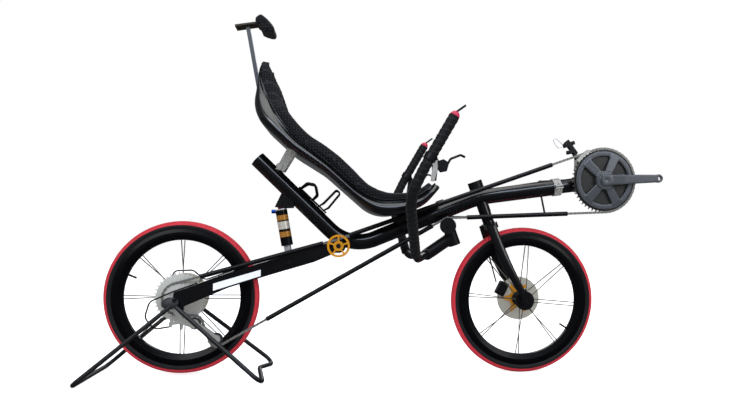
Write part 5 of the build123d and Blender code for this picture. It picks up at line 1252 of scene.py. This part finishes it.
# Bar tape: padded black tape wound up each leg of the bar, every turn lapping
# the last, so that the grip has a spiral ridge.
BAR_SIDE_POINTS = [
    # along, up, distance to the side
    (777.0, 757.0, 300.0), (700.0, 622.0, 300.0), (661.0, 540.0, 290.0), (700.0, 362.0, 120.0),
]
BAR_ARCS = [180.0, 110.0]
TAPE_RADIUS_MM = 15.0
TAPE_LAP_MM = 0.8
TAPE_PITCH_MM = 17.0
TAPE_STEP_MM = 2.0
TAPE_ENDS_MM = 134.0
TAPE_COUNT = 24
TAPE_RIDGE = 8.0
SIDES = [("right", -1), ("left", 1)]
tape_surface = {"Specular IOR Level": 0.2, "Sheen Weight": 0.06}
bar_tape = mottled("padded black bar tape", "#070708", "#0F0F11", 1.0, (0.5, 0.65), 0.4, tape_surface)
for side_name, side_sign in SIDES:
    rings = []
    run = 0.0
    line = arc_line([(a, s * side_sign, u) for a, u, s in BAR_SIDE_POINTS], BAR_ARCS, TAPE_STEP_MM)
    for place, heading in line:
        if abs(place.y) < TAPE_ENDS_MM:
            break
        level = (Vector((0.0, 1.0, 0.0)) - heading * heading.y).normalized()
        across = heading.cross(level)
        ring = []
        for index in range(TAPE_COUNT):
            lap = (run / TAPE_PITCH_MM + side_sign * index / TAPE_COUNT) % 1.0
            girth = TAPE_RADIUS_MM - TAPE_LAP_MM + TAPE_LAP_MM * 2 * (1 - lap) * min(1.0, lap * TAPE_RIDGE)
            x, z = turned(2 * pi * index / TAPE_COUNT, girth)
            ring.append(at(place.x, place.z, place.y) + (level * x + across * z) * MM)
        rings.append(ring)
        run += TAPE_STEP_MM
    name = f"bar_tape_{side_name}"
    wrap = new_piece(name, skin(name, rings), bar_tape, "handlebar")
    if side_name == "right":
        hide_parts("grips")


# Knobs: the red plugs end in round heads, from which the shift levers stand.
KNOB_MM = 12.5
KNOB_OUT_MM = 3.0
KNOB_ROUND = {"u_segments": 28, "v_segments": 16}
bar_end, bar_below = [Vector((a, u)) for a, u, s in BAR_SIDE_POINTS[:2]]
knob = bar_end + (bar_end - bar_below).normalized() * KNOB_OUT_MM
for side_name, side_sign in SIDES:
    spot = Matrix.Translation(at(*knob, side_sign * BAR_SIDE_POINTS[0][2]))
    shape = bmesh.new()
    bmesh.ops.create_uvsphere(shape, radius=KNOB_MM * MM, matrix=spot, **KNOB_ROUND)
    name = f"bar_knob_{side_name}"
    new_piece(name, as_mesh(name, shape, smooth=True), plug_plastic, "handlebar")


# Lever plates: bright stamped plates with three holes, outside the black
# bands that clamp them to the bar.
LEVER_SIDE_MM = 306.0
LEVER_THICK_MM = 2.4
LEVER_DRILL_MM = 2.6
LEVER_DRILL_ROUND = 12
LEVER_PLATE = [
    # along, up
    (722.0, 640.0), (735.0, 637.0), (733.0, 618.0), (724.0, 582.0),
    (714.0, 582.0), (715.0, 596.0), (719.0, 618.0),
]
LEVER_HOLES = [
    # along, up
    (727.0, 625.0), (724.0, 609.0), (719.0, 594.0),
]
outlines = [LEVER_PLATE] + [circle(LEVER_DRILL_MM, LEVER_DRILL_ROUND, spot) for spot in LEVER_HOLES]
for side_name, side_sign in SIDES:
    shape = bmesh.new()
    plate(shape, at(0.0, 0.0), side_sign * LEVER_SIDE_MM, LEVER_THICK_MM, outlines)
    name = f"lever_plate_{side_name}"
    new_piece(name, as_mesh(name, shape), silver_alloy, "handlebar")


# Chain tubes, hoses and cage: extruded and moulded black plastic with a
# slight shine. The jockey wheels are matt nylon.
tube_plastic = mottled(
    "extruded black polyethylene", "#060607", "#0B0B0D", 4.0, (0.26, 0.36), 0.04, {"Specular IOR Level": 0.3}
)
dress(tube_plastic, "chain_tubes", "rear_hose", "front_hose", "shift_cable", "bottle_cage")
moulded_plastic = mottled("moulded grey nylon", "#232427", "#303135", 1.2, (0.45, 0.6), 0.2)
dress(moulded_plastic, "jockey_wheels")


# Stand: steel rod under rough powder coat, with egg-shaped nylon heads over
# the ends of the axle, which clamp the stand's legs.
EGG_PLACE = (-14.0, 232.0)
EGG_SIDE_MM = 81.0
EGG_HALVES_MM = (25.0, 12.0, 17.5)
EGG_TILT = radians(-8.0)
EGG_ROUND = {"u_segments": 40, "v_segments": 24}
powder_coat = mottled("black powder coat", "#0F0F10", "#1A1A1C", 0.9, (0.34, 0.46), 0.25)
dress(powder_coat, "stand_rear", "stand_front")
shape = bmesh.new()
for side_name, side_sign in SIDES:
    form = Matrix.Translation(at(*EGG_PLACE, side_sign * EGG_SIDE_MM)) @ Matrix.Rotation(EGG_TILT, 4, "Y")
    form = form @ Matrix.Diagonal((*[half_mm * MM for half_mm in EGG_HALVES_MM], 1.0))
    bmesh.ops.create_uvsphere(shape, radius=1.0, matrix=form, **EGG_ROUND)
egg_mesh = as_mesh("egg_heads", shape, smooth=True)
egg_heads = new_piece("egg_heads", egg_mesh, moulded_plastic, "frame")
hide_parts("stand_heads")


# Fasteners: polished socket-head bolts on the rings and discs. Each head is
# turned with a chamfer and a deep socket.
BOLT_STEPS = [
    # share of the head's radius, share of its height
    (1.0, 0.0), (1.0, 0.8), (0.88, 1.0), (0.5, 1.0), (0.45, 0.3),
]
BOLT_COUNT = 18
SIX_ROUND = [radians(60 * k) for k in range(6)]
FASTENERS = [
    # name, body, slot, head radius and height, facing, centre, side and radius of their circle, angles
    ("chainring_bolts", "crankset", "ring_alloy", 4.2, 1.6, 0, BOTTOM_BRACKET, -52.6, 81.0, SPIDER_TURNS),
    ("front_disc_bolts", "front_wheel", "disc_steel", 3.0, 2.0, pi, FRONT_WHEEL, 43.8, 24.0, SIX_ROUND),
    ("rear_disc_bolts", "rear_wheel", "disc_steel", 3.0, 2.0, pi, REAR_WHEEL, 43.8, 24.0, SIX_ROUND),
]


def bolt_object(name, radius_mm, high_mm):
    """The head of a socket bolt, whose seat is at the origin and whose top is towards minus Y."""
    rings = []
    for radius_share, high_share in BOLT_STEPS:
        ring = circle(radius_mm * radius_share, BOLT_COUNT)
        rings.append([Vector((x, -high_mm * high_share, z)) * MM for x, z in ring])
    return bpy.data.objects.new(name, skin(name, rings, smooth=False))


bolt_inputs = [("Fastener", "Object"), ("Turn", "Vector")]
bolts_tree, bolts_in, bolts_out = new_group("fasteners on points", bolt_inputs)
bolt_shape = add(bolts_tree, "GeometryNodeObjectInfo", {"Object": bolts_in["Fastener"]})
bolt_turn = add(bolts_tree, "FunctionNodeEulerToRotation", {0: bolts_in["Turn"]})
placing = {
    "Points": bolts_in["Geometry"],
    "Instance": bolt_shape.outputs["Geometry"],
    "Rotation": bolt_turn.outputs[0],
}
bolts_placed = add(bolts_tree, "GeometryNodeInstanceOnPoints", placing)
realised(bolts_tree, bolts_placed.outputs[0], bolts_in["Finish"], bolts_out)
for name, body, slot_name, head_mm, high_mm, facing, centre, side_mm, radius_mm, angles in FASTENERS:
    head = bolt_object(name + "_head", head_mm, high_mm)
    spots = bpy.data.meshes.new(name)
    rounds = [turned(angle, radius_mm) for angle in angles]
    spots.from_pydata([centre + Vector((x, side_mm, z)) * MM for x, z in rounds], [], [])
    values = {"Fastener": head, "Turn": (0.0, 0.0, facing), "Finish": polished_steel}
    new_piece(name, laid(name, spots, bolts_tree, values), polished_steel, body)
